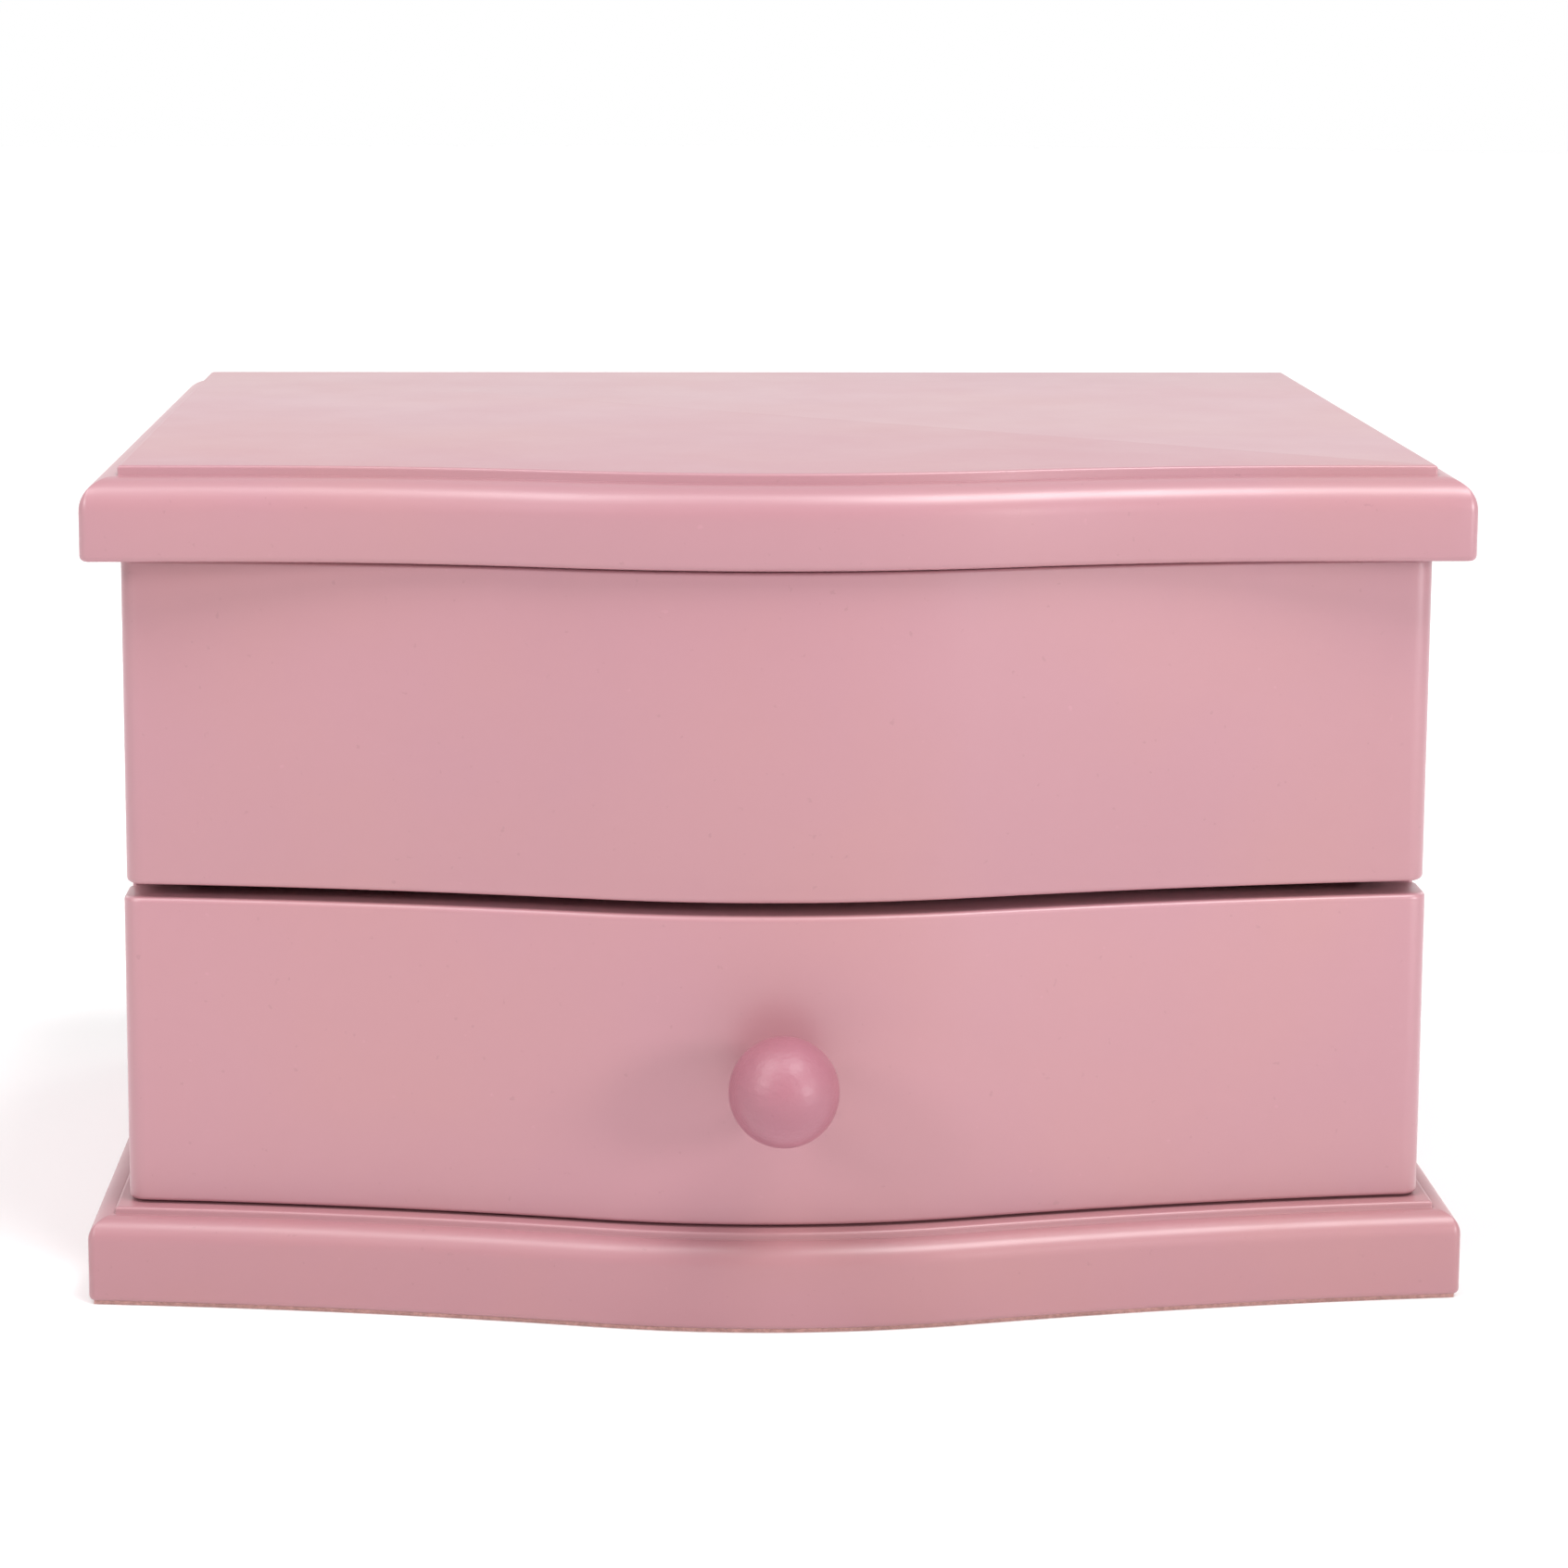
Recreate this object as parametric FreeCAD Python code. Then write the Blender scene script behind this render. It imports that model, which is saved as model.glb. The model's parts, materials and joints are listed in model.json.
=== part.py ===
import FreeCAD, Part
import math
import os

# Ballerina jewellery box with a musical movement, one drawer and a hinged lid, in millimetres.
# The origin is the middle of the base's underside. +Z is up, +X is the right-hand side seen from
# the front, and the bowed front faces -Y.

V = FreeCAD.Vector

# ---- driving dimensions -------------------------------------------------------------------------
BASE_WIDTH = 211.6
LID_WIDTH = 210.0
BODY_WIDTH = 199.4
DRAWER_FRONT_WIDTH = 200.3
WALL = 9.0                      # thickness of the case's side and back boards
BACK_Y = 79.7                   # back face of case, base and lid
CORNER_DEPTH = 145.0            # from the back face to the front corners of the base and lid
FRONT_OVERHANG = 6.2            # how far the base's front stands out from the drawer

FELT_TOP = 0.6
FELT_INSET = 0.8
PLINTH_TOP = 14.5
DRAWER_FRONT_LOW = 14.9
DRAWER_FRONT_HIGH = 62.8
PANEL_LOW = 64.8
RIM = 115.0                     # top edge of the case
LID_LOW = 115.3
LID_HIGH = 129.3

# A bowed front is a convex middle arc, running at a slope into a hollow arc at each end:
# (radius of the middle, slope where it turns in degrees, radius of the hollow ends).
CASE_BOW = (135.0, 12.3, 566.0)
LID_BOW = (150.0, 13.2, 222.2)

BASE_ROUND = 3.5                # quarter round along the base's top edge
BASE_LIP = 1.0
LID_ROUND = 5.0                 # quarter round along the lid's top edge
LID_LIP = 1.5
LEDGE = 0.4                     # small flat between a lip and its quarter round
PANEL_CORNER = 3.0              # rounded upright corners of the two fronts
DRAWER_TOP_ROUND = 0.8

SHELF_LOW = 65.6                # floor board of the upper compartment
SHELF_THICK = 4.0
LINING = 0.8                    # velvet on card
LINING_BELOW_RIM = 2.0
KEY_HOLE_RADIUS = 5.0
DIVIDER_THICK = 2.4
DIVIDER_HIGH = 92.0
DIVIDER_FRONT_BACK_Y = 36.0     # where the long dividers meet the movement's cover
CROSS_DIVIDER_Y = -3.0
SIDE_DIVIDER_Y = 12.0

ROLL_RADIUS = 6.4
ROLL_SUNK = 0.6                 # how much of the round is flattened against the floor
ROLL_CLEAR = 0.5                # from a roll's ends to the walls beside it
ROLL_PITCH = 13.5
ROLL_COUNT = 5

DRAWER_TRAVEL = 85.0
DRAWER_GAP = 0.4                # between the drawer's front and the case's side boards
DRAWER_BOARD = 5.0
DRAWER_SIDE_X = 89.5
DRAWER_SIDE_LOW = 15.1
DRAWER_SIDE_HIGH = 57.0
DRAWER_BACK_HIGH = 61.5
DRAWER_BACK_Y = 66.0
DRAWER_BOTTOM_THICK = 3.0
STOP_LOW = 58.5
STOP_THICK = 6.0
STOP_HALF = 12.0

KNOB_RADIUS = 8.0
KNOB_REACH = 12.0               # from the drawer's face to the middle of the ball
KNOB_Z = 39.3
KNOB_NECK_BASE = 4.6
KNOB_NECK_TIP = 3.8
KNOB_NECK_LONG = 7.0
KNOB_HOLE_RADIUS = 2.0          # through the drawer's front
KNOB_SCREW_RADIUS = 1.6
KNOB_SCREW_IN_BALL = 8.0
SCREW_HEAD_RADIUS = 3.6
SCREW_HEAD_THICK = 2.0
SCREW_HEAD_CLEAR = 0.2

MIRROR_X = 78.0
MIRROR_FRONT_Y = -42.0
MIRROR_BACK_Y = 60.0
MIRROR_THICK = 2.0
MIRROR_POCKET = 3.0
MIRROR_FRAME_WIDTH = 4.0
MIRROR_FRAME_THICK = 1.0
LID_LINING_X = 88.0
LID_LINING_FRONT_Y = -50.0
LID_LINING_BACK_Y = 68.0

HINGE_X = 55.0
HINGE_HALF = 15.0
HINGE_AXIS_OUT = 1.9            # from the back face to the hinge's axis
HINGE_AXIS_Z = 115.15
LEAF_THICK = 1.2
LEAF_HIGH = 12.0
KNUCKLE_RADIUS = 1.6
KNUCKLE_HALF = 5.0              # half of the middle knuckle
PIN_RADIUS = 0.8
RUNNING_GAP = 0.05
KNUCKLE_GAP = 0.3
LEAF_GAP = 0.3                  # from the hinge's axis to a leaf's edge
KNUCKLE_CLEAR = 0.4             # round the other leaf's knuckles
HINGE_SCREW_HEAD = 1.7
HINGE_SCREW_RADIUS = 0.8
HINGE_SCREW_HEAD_DEEP = 0.9
HINGE_SCREW_LONG = 8.0
HINGE_SCREW_X = 9.5
HINGE_SCREW_AWAY = 7.0          # from the hinge's axis to the screws

MOVE_Y = 51.5                   # plane of the pinned cylinder's and the ballerina spindle's axes
ARBOR_Z = 82.0
GEAR_MODULE = 0.5
CROWN_TEETH = 36
PINION_TEETH = 12
CROWN_RADIUS = GEAR_MODULE * CROWN_TEETH / 2
PINION_RADIUS = GEAR_MODULE * PINION_TEETH / 2
TOOTH_OUT = 0.4                 # tooth height outside the pitch line
TOOTH_IN = 0.6                  # tooth depth inside the pitch line
BEDPLATE_THICK = 2.0
BEDPLATE_LEFT = -18.0
BEDPLATE_RIGHT = 41.2
BEDPLATE_LOW = 71.3
BEDPLATE_HIGH = 96.9
HOUSING_RADIUS = 10.5
HOUSING_FRONT_Y = 57.2
HOUSING_SHELL = 0.8
ARBOR_RADIUS = 1.5
DRUM_LEFT = 13.6
DRUM_RIGHT = 29.6
DRUM_RADIUS = 5.0
DRUM_SHAFT = 0.9
END_GEAR_TEETH = 35
END_GEAR_LEFT = 32.0
FINE_MODULE = 0.4
FLY_TEETH = 8
FLY_CENTRES = 8.7               # from the cylinder's axis to the governor's axis
FLY_SHAFT = 0.6
FLY_RADIUS = 5.0
POST_THICK = 1.4
POST_LEFT = 11.4
POST_RIGHT = 30.2
FLY_POST = 39.8
COMB_THICK = 0.8
COMB_TEETH = 15
COMB_LOW = 87.8
COMB_ROOT = 92.4
COMB_HIGH = 96.5

COVER_X = 45.5
COVER_FRONT_Y = 36.0
COVER_WALL = 2.0
COVER_TOP = 99.7
SPINDLE_HOLE_CLEAR = 0.6
PLUNGER_HOLE_CLEAR = 0.4
SPINDLE_RADIUS = 1.0
SPINDLE_FLANGE = 3.2
PLUNGER_X = 36.8
PLUNGER_RADIUS = 1.2
PLUNGER_HEAD_RADIUS = 2.3
PLUNGER_HEAD_THICK = 1.8
PLUNGER_GAP = 0.4               # below the closed lid
STOP_ABOVE_FLY = 0.6
BRACKET_LOW = 94.4              # the arm that steadies the spindle
BRACKET_HIGH = 95.8
BRACKET_HALF = 4.0
PINION_WIDTH = 3.4
KEY_HUB_RADIUS = 3.2
KEY_HUB_START = 1.3             # behind the back wall
KEY_HUB_END = 9.0
KEY_WING_AT = 12.5
KEY_WING_X = 7.0
KEY_WING_RADIUS = 6.0
KEY_WING_HALF = 0.7
KEY_EYE_X = 8.0
KEY_EYE_RADIUS = 2.6

SPRING_BEND = 4.0               # radius of the bent spring's middle line
SPRING_COIL = 1.7
SPRING_WIRE = 0.3
FIGURE_HEIGHT = 48.0
TUTU_RADIUS = 9.0
TUTU_AT = 21.5                  # from the soles to the middle of the tutu

# ---- worked out from them -----------------------------------------------------------------------
BODY_X = BODY_WIDTH / 2
INNER_X = BODY_X - WALL
INNER_BACK_Y = BACK_Y - WALL
FRONT_CORNER_Y = BACK_Y - CORNER_DEPTH
SHELF_HIGH = SHELF_LOW + SHELF_THICK
FLOOR_Z = SHELF_HIGH + LINING
BEDPLATE_Y = INNER_BACK_Y - BEDPLATE_THICK
HINGE_Y = BACK_Y + HINGE_AXIS_OUT
SPRING_Z = COVER_TOP + 1.2
FIGURE_Y = MOVE_Y - SPRING_BEND
FIGURE_Z = SPRING_Z + SPRING_BEND


def box(x0, x1, y0, y1, z0, z1):
    return Part.makeBox(x1 - x0, y1 - y0, z1 - z0, V(x0, y0, z0))


def rod(radius, start, end):
    start = V(*start)
    along = V(*end) - start
    return Part.makeCylinder(radius, along.Length, start, along)


def save(name, shape):
    shape.exportStep("parts/" + name + ".step")


def arc(a, b, c):
    return Part.Arc(a, b, c).toShape()


# ---- bowed outlines -----------------------------------------------------------------------------
def bow_depth(bow, half_width):
    """How far the middle of a bowed front stands in front of its corners."""
    convex, slope, hollow = bow
    sine = math.sin(math.radians(slope))
    cosine = math.cos(math.radians(slope))
    end_sine = max(0.0, sine - (half_width - convex * sine) / hollow)
    end_cosine = math.sqrt(1 - end_sine ** 2)
    return convex * (1 - cosine) + hollow * (end_cosine - cosine)


def bowed_face(bow, tip_y, half_width, back_y, inset=0.0, z=0.0):
    """A face with a bowed front and a straight back, moved in by inset at the front and sides."""
    convex = bow[0] - inset
    hollow = bow[2] + inset
    sine = math.sin(math.radians(bow[1]))
    cosine = math.cos(math.radians(bow[1]))
    edge_x = half_width - inset
    turn_x = convex * sine
    turn_y = tip_y + inset + convex * (1 - cosine)
    end_sine = max(0.0, sine - (edge_x - turn_x) / hollow)

    def on_hollow(s):
        x = turn_x + hollow * (sine - s)
        y = turn_y + hollow * (math.sqrt(1 - s * s) - cosine)
        return V(x, y, z)

    right = [V(turn_x, turn_y, z), on_hollow((sine + end_sine) / 2), on_hollow(end_sine)]
    left = [V(-p.x, p.y, z) for p in right]
    edges = [arc(left[2], left[1], left[0])]
    edges.append(arc(left[0], V(0, tip_y + inset, z), right[0]))
    edges.append(arc(right[0], right[1], right[2]))
    corners = [V(edge_x, right[2].y, z), V(edge_x, back_y, z)]
    corners += [V(-edge_x, back_y, z), V(-edge_x, right[2].y, z)]
    path = [right[2]] + corners + [left[2]]
    for a, b in zip(path, path[1:]):
        if (b - a).Length > 0.001:
            edges.append(Part.makeLine(a, b))
    return Part.Face(Part.Wire(edges))


def bowed_board(bow, tip_y, half_width, back_y, low, high, inset=0.0):
    return bowed_face(bow, tip_y, half_width, back_y, inset, low).extrude(V(0, 0, high - low))


def edges_at_height(shape, z, back_y):
    """The front and side edges at one height, without the straight back edge."""
    found = []
    for edge in shape.Edges:
        bounds = edge.BoundBox
        level = abs(bounds.ZMin - z) < 0.01 and abs(bounds.ZMax - z) < 0.01
        if level and not (bounds.YMin > back_y - 0.01):
            found.append(edge)
    return found


def upright_front_edges(shape, half_width, back_y):
    """The upright edges at a board's two front corners."""
    found = []
    for edge in shape.Edges:
        bounds = edge.BoundBox
        upright = bounds.ZLength > 5 and bounds.XLength < 0.01 and bounds.YLength < 0.01
        if upright and abs(abs(bounds.XMin) - half_width) < 0.01 and bounds.YMax < back_y - 1:
            found.append(edge)
    return found


def moulded_board(bow, tip_y, half_width, low, high, quarter, lip):
    """A board whose front and side edges have a quarter round under a small upright lip."""
    shoulder = high - lip
    body = bowed_board(bow, tip_y, half_width, BACK_Y, low, shoulder)
    body = body.makeFillet(quarter, edges_at_height(body, shoulder, BACK_Y))
    top = bowed_board(bow, tip_y, half_width, BACK_Y, shoulder - 1, high, quarter + LEDGE)
    return body.fuse(top).removeSplitter()


BASE_X = BASE_WIDTH / 2
BASE_TIP_Y = FRONT_CORNER_Y - bow_depth(CASE_BOW, BASE_X)
BODY_TIP_Y = BASE_TIP_Y + FRONT_OVERHANG
LID_X = LID_WIDTH / 2
LID_TIP_Y = FRONT_CORNER_Y - bow_depth(LID_BOW, LID_X)
BODY_CORNER_Y = BODY_TIP_Y + bow_depth(CASE_BOW, BODY_X)
FRONT_Y = BODY_CORNER_Y + WALL              # front edges of the side boards


# ---- case ---------------------------------------------------------------------------------------
def base_plinth():
    return moulded_board(CASE_BOW, BASE_TIP_Y, BASE_X, FELT_TOP, PLINTH_TOP, BASE_ROUND, BASE_LIP)


def base_felt():
    return bowed_board(CASE_BOW, BASE_TIP_Y, BASE_X, BACK_Y - FELT_INSET, 0, FELT_TOP, FELT_INSET)


def side_wall(side):
    near = min(side * INNER_X, side * BODY_X)
    return box(near, near + WALL, FRONT_Y, BACK_Y, PLINTH_TOP, RIM)


def back_wall(cutters):
    board = box(-INNER_X, INNER_X, INNER_BACK_Y, BACK_Y, PLINTH_TOP, RIM)
    key_hole = rod(KEY_HOLE_RADIUS, (0, INNER_BACK_Y - 1, ARBOR_Z), (0, BACK_Y + 1, ARBOR_Z))
    return board.cut(key_hole.multiFuse(cutters))


def front_panel():
    board = bowed_board(CASE_BOW, BODY_TIP_Y, BODY_X, FRONT_Y, PANEL_LOW, RIM)
    return board.makeFillet(PANEL_CORNER, upright_front_edges(board, BODY_X, FRONT_Y))


def case_shelf():
    return box(-INNER_X, INNER_X, FRONT_Y, INNER_BACK_Y, SHELF_LOW, SHELF_HIGH)


def shelf_lining():
    return box(-INNER_X, INNER_X, FRONT_Y, INNER_BACK_Y, SHELF_HIGH, FLOOR_Z)


def wall_lining():
    """Velvet on card around the four walls of the upper compartment."""
    outer = box(-INNER_X, INNER_X, FRONT_Y, INNER_BACK_Y, FLOOR_Z,
                RIM - LINING_BELOW_RIM)
    inner = box(-INNER_X + LINING, INNER_X - LINING, FRONT_Y + LINING, INNER_BACK_Y - LINING,
                FLOOR_Z - 1, RIM)
    hole = box(BEDPLATE_LEFT - 1, BEDPLATE_RIGHT + 1, MOVE_Y, BACK_Y, FLOOR_Z - 1, BEDPLATE_HIGH + 1)
    return outer.cut(inner).cut(hole)


def long_divider(side):
    near = min(side * COVER_X, side * (COVER_X - DIVIDER_THICK))
    return box(near, near + DIVIDER_THICK, FRONT_Y + LINING, DIVIDER_FRONT_BACK_Y, FLOOR_Z, DIVIDER_HIGH)


def cross_divider(side, y):
    ends = sorted([side * COVER_X, side * (INNER_X - LINING)])
    return box(ends[0], ends[1], y, y + DIVIDER_THICK, FLOOR_Z, DIVIDER_HIGH)


def ring_roll(index):
    """A padded roll that lies across the left-hand compartment, its sides flattened underneath."""
    y = CROSS_DIVIDER_Y + DIVIDER_THICK + ROLL_PITCH * (index + 0.5)
    z = FLOOR_Z + ROLL_RADIUS - ROLL_SUNK
    left = -INNER_X + LINING + ROLL_CLEAR
    roll = rod(ROLL_RADIUS, (left, y, z), (-COVER_X - ROLL_CLEAR, y, z))
    return roll.common(box(left, 0, y - ROLL_RADIUS, y + ROLL_RADIUS, FLOOR_Z, RIM))


def drawer_stop():
    back = DRAWER_BACK_Y - DRAWER_BOARD - DRAWER_TRAVEL - DRAWER_GAP
    return box(-STOP_HALF, STOP_HALF, back - STOP_THICK, back, STOP_LOW, SHELF_LOW)


def movement_cover():
    outer = box(-COVER_X, COVER_X, COVER_FRONT_Y, INNER_BACK_Y - LINING, FLOOR_Z, COVER_TOP)
    inner = box(-COVER_X + COVER_WALL, COVER_X - COVER_WALL, COVER_FRONT_Y + COVER_WALL, BACK_Y,
                FLOOR_Z - 1, COVER_TOP - COVER_WALL)
    spindle_hole = rod(SPINDLE_RADIUS + SPINDLE_HOLE_CLEAR, (0, MOVE_Y, COVER_TOP - 5),
                       (0, MOVE_Y, COVER_TOP + 1))
    fly_y = MOVE_Y + FLY_CENTRES
    plunger_hole = rod(PLUNGER_RADIUS + PLUNGER_HOLE_CLEAR, (PLUNGER_X, fly_y, COVER_TOP - 5),
                       (PLUNGER_X, fly_y, COVER_TOP + 1))
    return outer.cut(inner).cut(spindle_hole).cut(plunger_hole)


# ---- drawer -------------------------------------------------------------------------------------
def drawer_front():
    back = FRONT_Y - DRAWER_GAP
    half = DRAWER_FRONT_WIDTH / 2
    board = bowed_board(CASE_BOW, BODY_TIP_Y, half, back, DRAWER_FRONT_LOW, DRAWER_FRONT_HIGH)
    board = board.makeFillet(PANEL_CORNER, upright_front_edges(board, half, back))
    board = board.makeFillet(DRAWER_TOP_ROUND, edges_at_height(board, DRAWER_FRONT_HIGH, back))
    return board.cut(rod(KNOB_HOLE_RADIUS, (0, FRONT_Y, KNOB_Z), (0, BODY_TIP_Y - 1, KNOB_Z)))


def drawer_side(side):
    near = min(side * DRAWER_SIDE_X, side * (DRAWER_SIDE_X - DRAWER_BOARD))
    return box(near, near + DRAWER_BOARD, FRONT_Y - DRAWER_GAP, DRAWER_BACK_Y, DRAWER_SIDE_LOW,
               DRAWER_SIDE_HIGH)


def drawer_back():
    x = DRAWER_SIDE_X - DRAWER_BOARD
    return box(-x, x, DRAWER_BACK_Y - DRAWER_BOARD, DRAWER_BACK_Y, DRAWER_SIDE_LOW, DRAWER_BACK_HIGH)


def drawer_bottom():
    x = DRAWER_SIDE_X - DRAWER_BOARD
    return box(-x, x, FRONT_Y - DRAWER_GAP, DRAWER_BACK_Y - DRAWER_BOARD, DRAWER_SIDE_LOW,
               DRAWER_SIDE_LOW + DRAWER_BOTTOM_THICK)


def drawer_lining():
    """Velvet on card over the drawer's floor and up its four sides."""
    x = DRAWER_SIDE_X - DRAWER_BOARD
    low = DRAWER_SIDE_LOW + DRAWER_BOTTOM_THICK
    front = FRONT_Y - DRAWER_GAP
    back = DRAWER_BACK_Y - DRAWER_BOARD
    outer = box(-x, x, front, back, low, DRAWER_SIDE_HIGH - 1)
    inner = box(-x + LINING, x - LINING, front + LINING, back - LINING, low + LINING, RIM)
    hole = rod(SCREW_HEAD_RADIUS + SCREW_HEAD_CLEAR, (0, front - 1, KNOB_Z), (0, front + 3, KNOB_Z))
    return outer.cut(inner).cut(hole)


def knob_screw():
    inside = FRONT_Y - DRAWER_GAP
    head = rod(SCREW_HEAD_RADIUS, (0, inside, KNOB_Z), (0, inside + SCREW_HEAD_THICK, KNOB_Z))
    shank = rod(KNOB_SCREW_RADIUS, (0, inside + 1, KNOB_Z),
                (0, BODY_TIP_Y - KNOB_SCREW_IN_BALL, KNOB_Z))
    return head.fuse(shank)


def knob(screw):
    """A turned ball on a short neck."""
    centre_y = BODY_TIP_Y - KNOB_REACH
    ball = Part.makeSphere(KNOB_RADIUS, V(0, centre_y, KNOB_Z))
    neck = Part.makeCone(KNOB_NECK_BASE, KNOB_NECK_TIP, KNOB_NECK_LONG, V(0, BODY_TIP_Y, KNOB_Z),
                         V(0, -1, 0))
    return ball.fuse(neck).cut(screw)


# ---- lid ----------------------------------------------------------------------------------------
def frame_between(outer, inner, low, high):
    x, front, back = outer
    hole_x, hole_front, hole_back = inner
    plate = box(-x, x, front, back, low, high)
    return plate.cut(box(-hole_x, hole_x, hole_front, hole_back, low - 1, high + 1))


LINING_EDGE = (LID_LINING_X, LID_LINING_FRONT_Y, LID_LINING_BACK_Y)
MIRROR_EDGE = (MIRROR_X, MIRROR_FRONT_Y, MIRROR_BACK_Y)
MIRROR_SIGHT = (MIRROR_X - MIRROR_FRAME_WIDTH, MIRROR_FRONT_Y + MIRROR_FRAME_WIDTH,
                MIRROR_BACK_Y - MIRROR_FRAME_WIDTH)


def lid_board(cutters):
    board = moulded_board(LID_BOW, LID_TIP_Y, LID_X, LID_LOW, LID_HIGH, LID_ROUND, LID_LIP)
    x, front, back = LINING_EDGE
    recess = box(-x, x, front, back, LID_LOW - 1, LID_LOW + LINING)
    x, front, back = MIRROR_EDGE
    pocket = box(-x, x, front, back, LID_LOW - 1, LID_LOW + MIRROR_POCKET)
    return board.cut(recess.multiFuse([pocket] + cutters))


def lid_lining():
    return frame_between(LINING_EDGE, MIRROR_EDGE, LID_LOW, LID_LOW + LINING)


def mirror():
    x, front, back = MIRROR_EDGE
    high = LID_LOW + MIRROR_POCKET
    return box(-x, x, front, back, high - MIRROR_THICK, high)


def mirror_frame():
    return frame_between(MIRROR_EDGE, MIRROR_SIGHT, LID_LOW, LID_LOW + MIRROR_FRAME_THICK)


# ---- hinges -------------------------------------------------------------------------------------
def along_axis(radius, x0, x1):
    return rod(radius, (x0, HINGE_Y, HINGE_AXIS_Z), (x1, HINGE_Y, HINGE_AXIS_Z))


def knuckle_spans(x, of_lid):
    """Where along the axis the knuckles are: the case has the middle one, the lid the outer two."""
    if of_lid:
        near = KNUCKLE_HALF + KNUCKLE_GAP
        return [(x - HINGE_HALF, x - near), (x + near, x + HINGE_HALF)]
    return [(x - KNUCKLE_HALF, x + KNUCKLE_HALF)]


def hinge_leaf(x, of_lid, screws):
    up = 1 if of_lid else -1
    near = HINGE_AXIS_Z + up * LEAF_GAP
    far = HINGE_AXIS_Z + up * LEAF_HIGH
    plate = box(x - HINGE_HALF, x + HINGE_HALF, BACK_Y, BACK_Y + LEAF_THICK, min(near, far),
                max(near, far))
    for start, end in knuckle_spans(x, not of_lid):
        plate = plate.cut(along_axis(KNUCKLE_RADIUS + KNUCKLE_CLEAR, start - KNUCKLE_GAP,
                                     end + KNUCKLE_GAP))
    knuckles = [along_axis(KNUCKLE_RADIUS, start, end) for start, end in knuckle_spans(x, of_lid)]
    bore = PIN_RADIUS + (RUNNING_GAP if of_lid else 0)
    leaf = plate.multiFuse(knuckles).cut(along_axis(bore, x - 20, x + 20))
    return leaf.cut(Part.makeCompound(screws))


def hinge_pins():
    ends = HINGE_HALF + 0.4
    return Part.makeCompound([along_axis(PIN_RADIUS, x - ends, x + ends) for x in (-HINGE_X, HINGE_X)])


def hinge_screws(up):
    """Four screws, with heads sunk level with the leaves."""
    face = BACK_Y + LEAF_THICK
    z = HINGE_AXIS_Z + up * HINGE_SCREW_AWAY
    screws = []
    for hinge in (-HINGE_X, HINGE_X):
        for x in (hinge - HINGE_SCREW_X, hinge + HINGE_SCREW_X):
            head = Part.makeCone(HINGE_SCREW_HEAD, HINGE_SCREW_RADIUS, HINGE_SCREW_HEAD_DEEP,
                                 V(x, face, z), V(0, -1, 0))
            shank = rod(HINGE_SCREW_RADIUS, (x, face - HINGE_SCREW_HEAD_DEEP, z),
                        (x, face - HINGE_SCREW_LONG, z))
            screws.append(head.fuse(shank))
    return screws


# ---- gears --------------------------------------------------------------------------------------
def toothed_face(teeth, module, turn):
    """A wheel's outline about Z, with straight-sided teeth; turn is the first tooth's angle."""
    pitch_r = module * teeth / 2
    scale = module / GEAR_MODULE
    root_r = pitch_r - TOOTH_IN * scale
    tip_r = pitch_r + TOOTH_OUT * scale
    root_half = 0.21 * math.pi * module / root_r
    tip_half = 0.10 * math.pi * module / tip_r
    points = []
    for k in range(teeth):
        middle = turn + 2 * math.pi * k / teeth
        for radius, angle in ((root_r, -root_half), (tip_r, -tip_half), (tip_r, tip_half),
                              (root_r, root_half)):
            points.append(V(radius * math.cos(middle + angle), radius * math.sin(middle + angle), 0))
    return Part.Face(Part.makePolygon(points + points[:1]))


def gear(teeth, module, turn, width, corner, axis):
    """A spur gear of some width, from corner along X or Z. For X, angles run from +Y towards +Z."""
    wheel = toothed_face(teeth, module, turn).extrude(V(0, 0, width))
    if axis == "X":
        wheel.rotate(V(0, 0, 0), V(1, 1, 1), 120)
    wheel.translate(V(*corner))
    return wheel


def crown_wheel(arbor_rod):
    """A disc on the winding arbor, with teeth on its front face."""
    face_y = MOVE_Y + PINION_RADIUS + TOOTH_IN
    disc = rod(CROWN_RADIUS + 1, (0, face_y, ARBOR_Z), (0, face_y + 1.5, ARBOR_Z))
    height = TOOTH_IN + TOOTH_OUT
    thick = 0.34 * math.pi * GEAR_MODULE
    teeth = []
    for k in range(CROWN_TEETH):
        tooth = box(CROWN_RADIUS - 0.8, CROWN_RADIUS + 0.8, face_y - height, face_y + 0.2,
                    ARBOR_Z - thick / 2, ARBOR_Z + thick / 2)
        tooth.rotate(V(0, 0, ARBOR_Z), V(0, 1, 0), 360.0 * k / CROWN_TEETH)
        teeth.append(tooth)
    return disc.multiFuse(teeth).cut(arbor_rod)


# ---- movement -----------------------------------------------------------------------------------
def arbor():
    front = MOVE_Y + PINION_RADIUS + TOOTH_IN - 0.6
    return rod(ARBOR_RADIUS, (0, front, ARBOR_Z), (0, BACK_Y + 6, ARBOR_Z))


def winding_key(arbor_rod):
    """A butterfly key: a round hub that carries two pierced wings."""
    low = ARBOR_Z - KEY_WING_HALF
    high = ARBOR_Z + KEY_WING_HALF
    hub = rod(KEY_HUB_RADIUS, (0, BACK_Y + KEY_HUB_START, ARBOR_Z), (0, BACK_Y + KEY_HUB_END, ARBOR_Z))
    wing_y = BACK_Y + KEY_WING_AT
    wings = []
    for side in (-1, 1):
        wing = rod(KEY_WING_RADIUS, (side * KEY_WING_X, wing_y, low), (side * KEY_WING_X, wing_y, high))
        eye = rod(KEY_EYE_RADIUS, (side * KEY_EYE_X, wing_y, low - 1), (side * KEY_EYE_X, wing_y, high + 1))
        wings.append(wing.cut(eye))
    web = box(-4, 4, BACK_Y + KEY_HUB_END - 2, wing_y + 3, low, high)
    return hub.multiFuse(wings + [web]).cut(arbor_rod)


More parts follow.
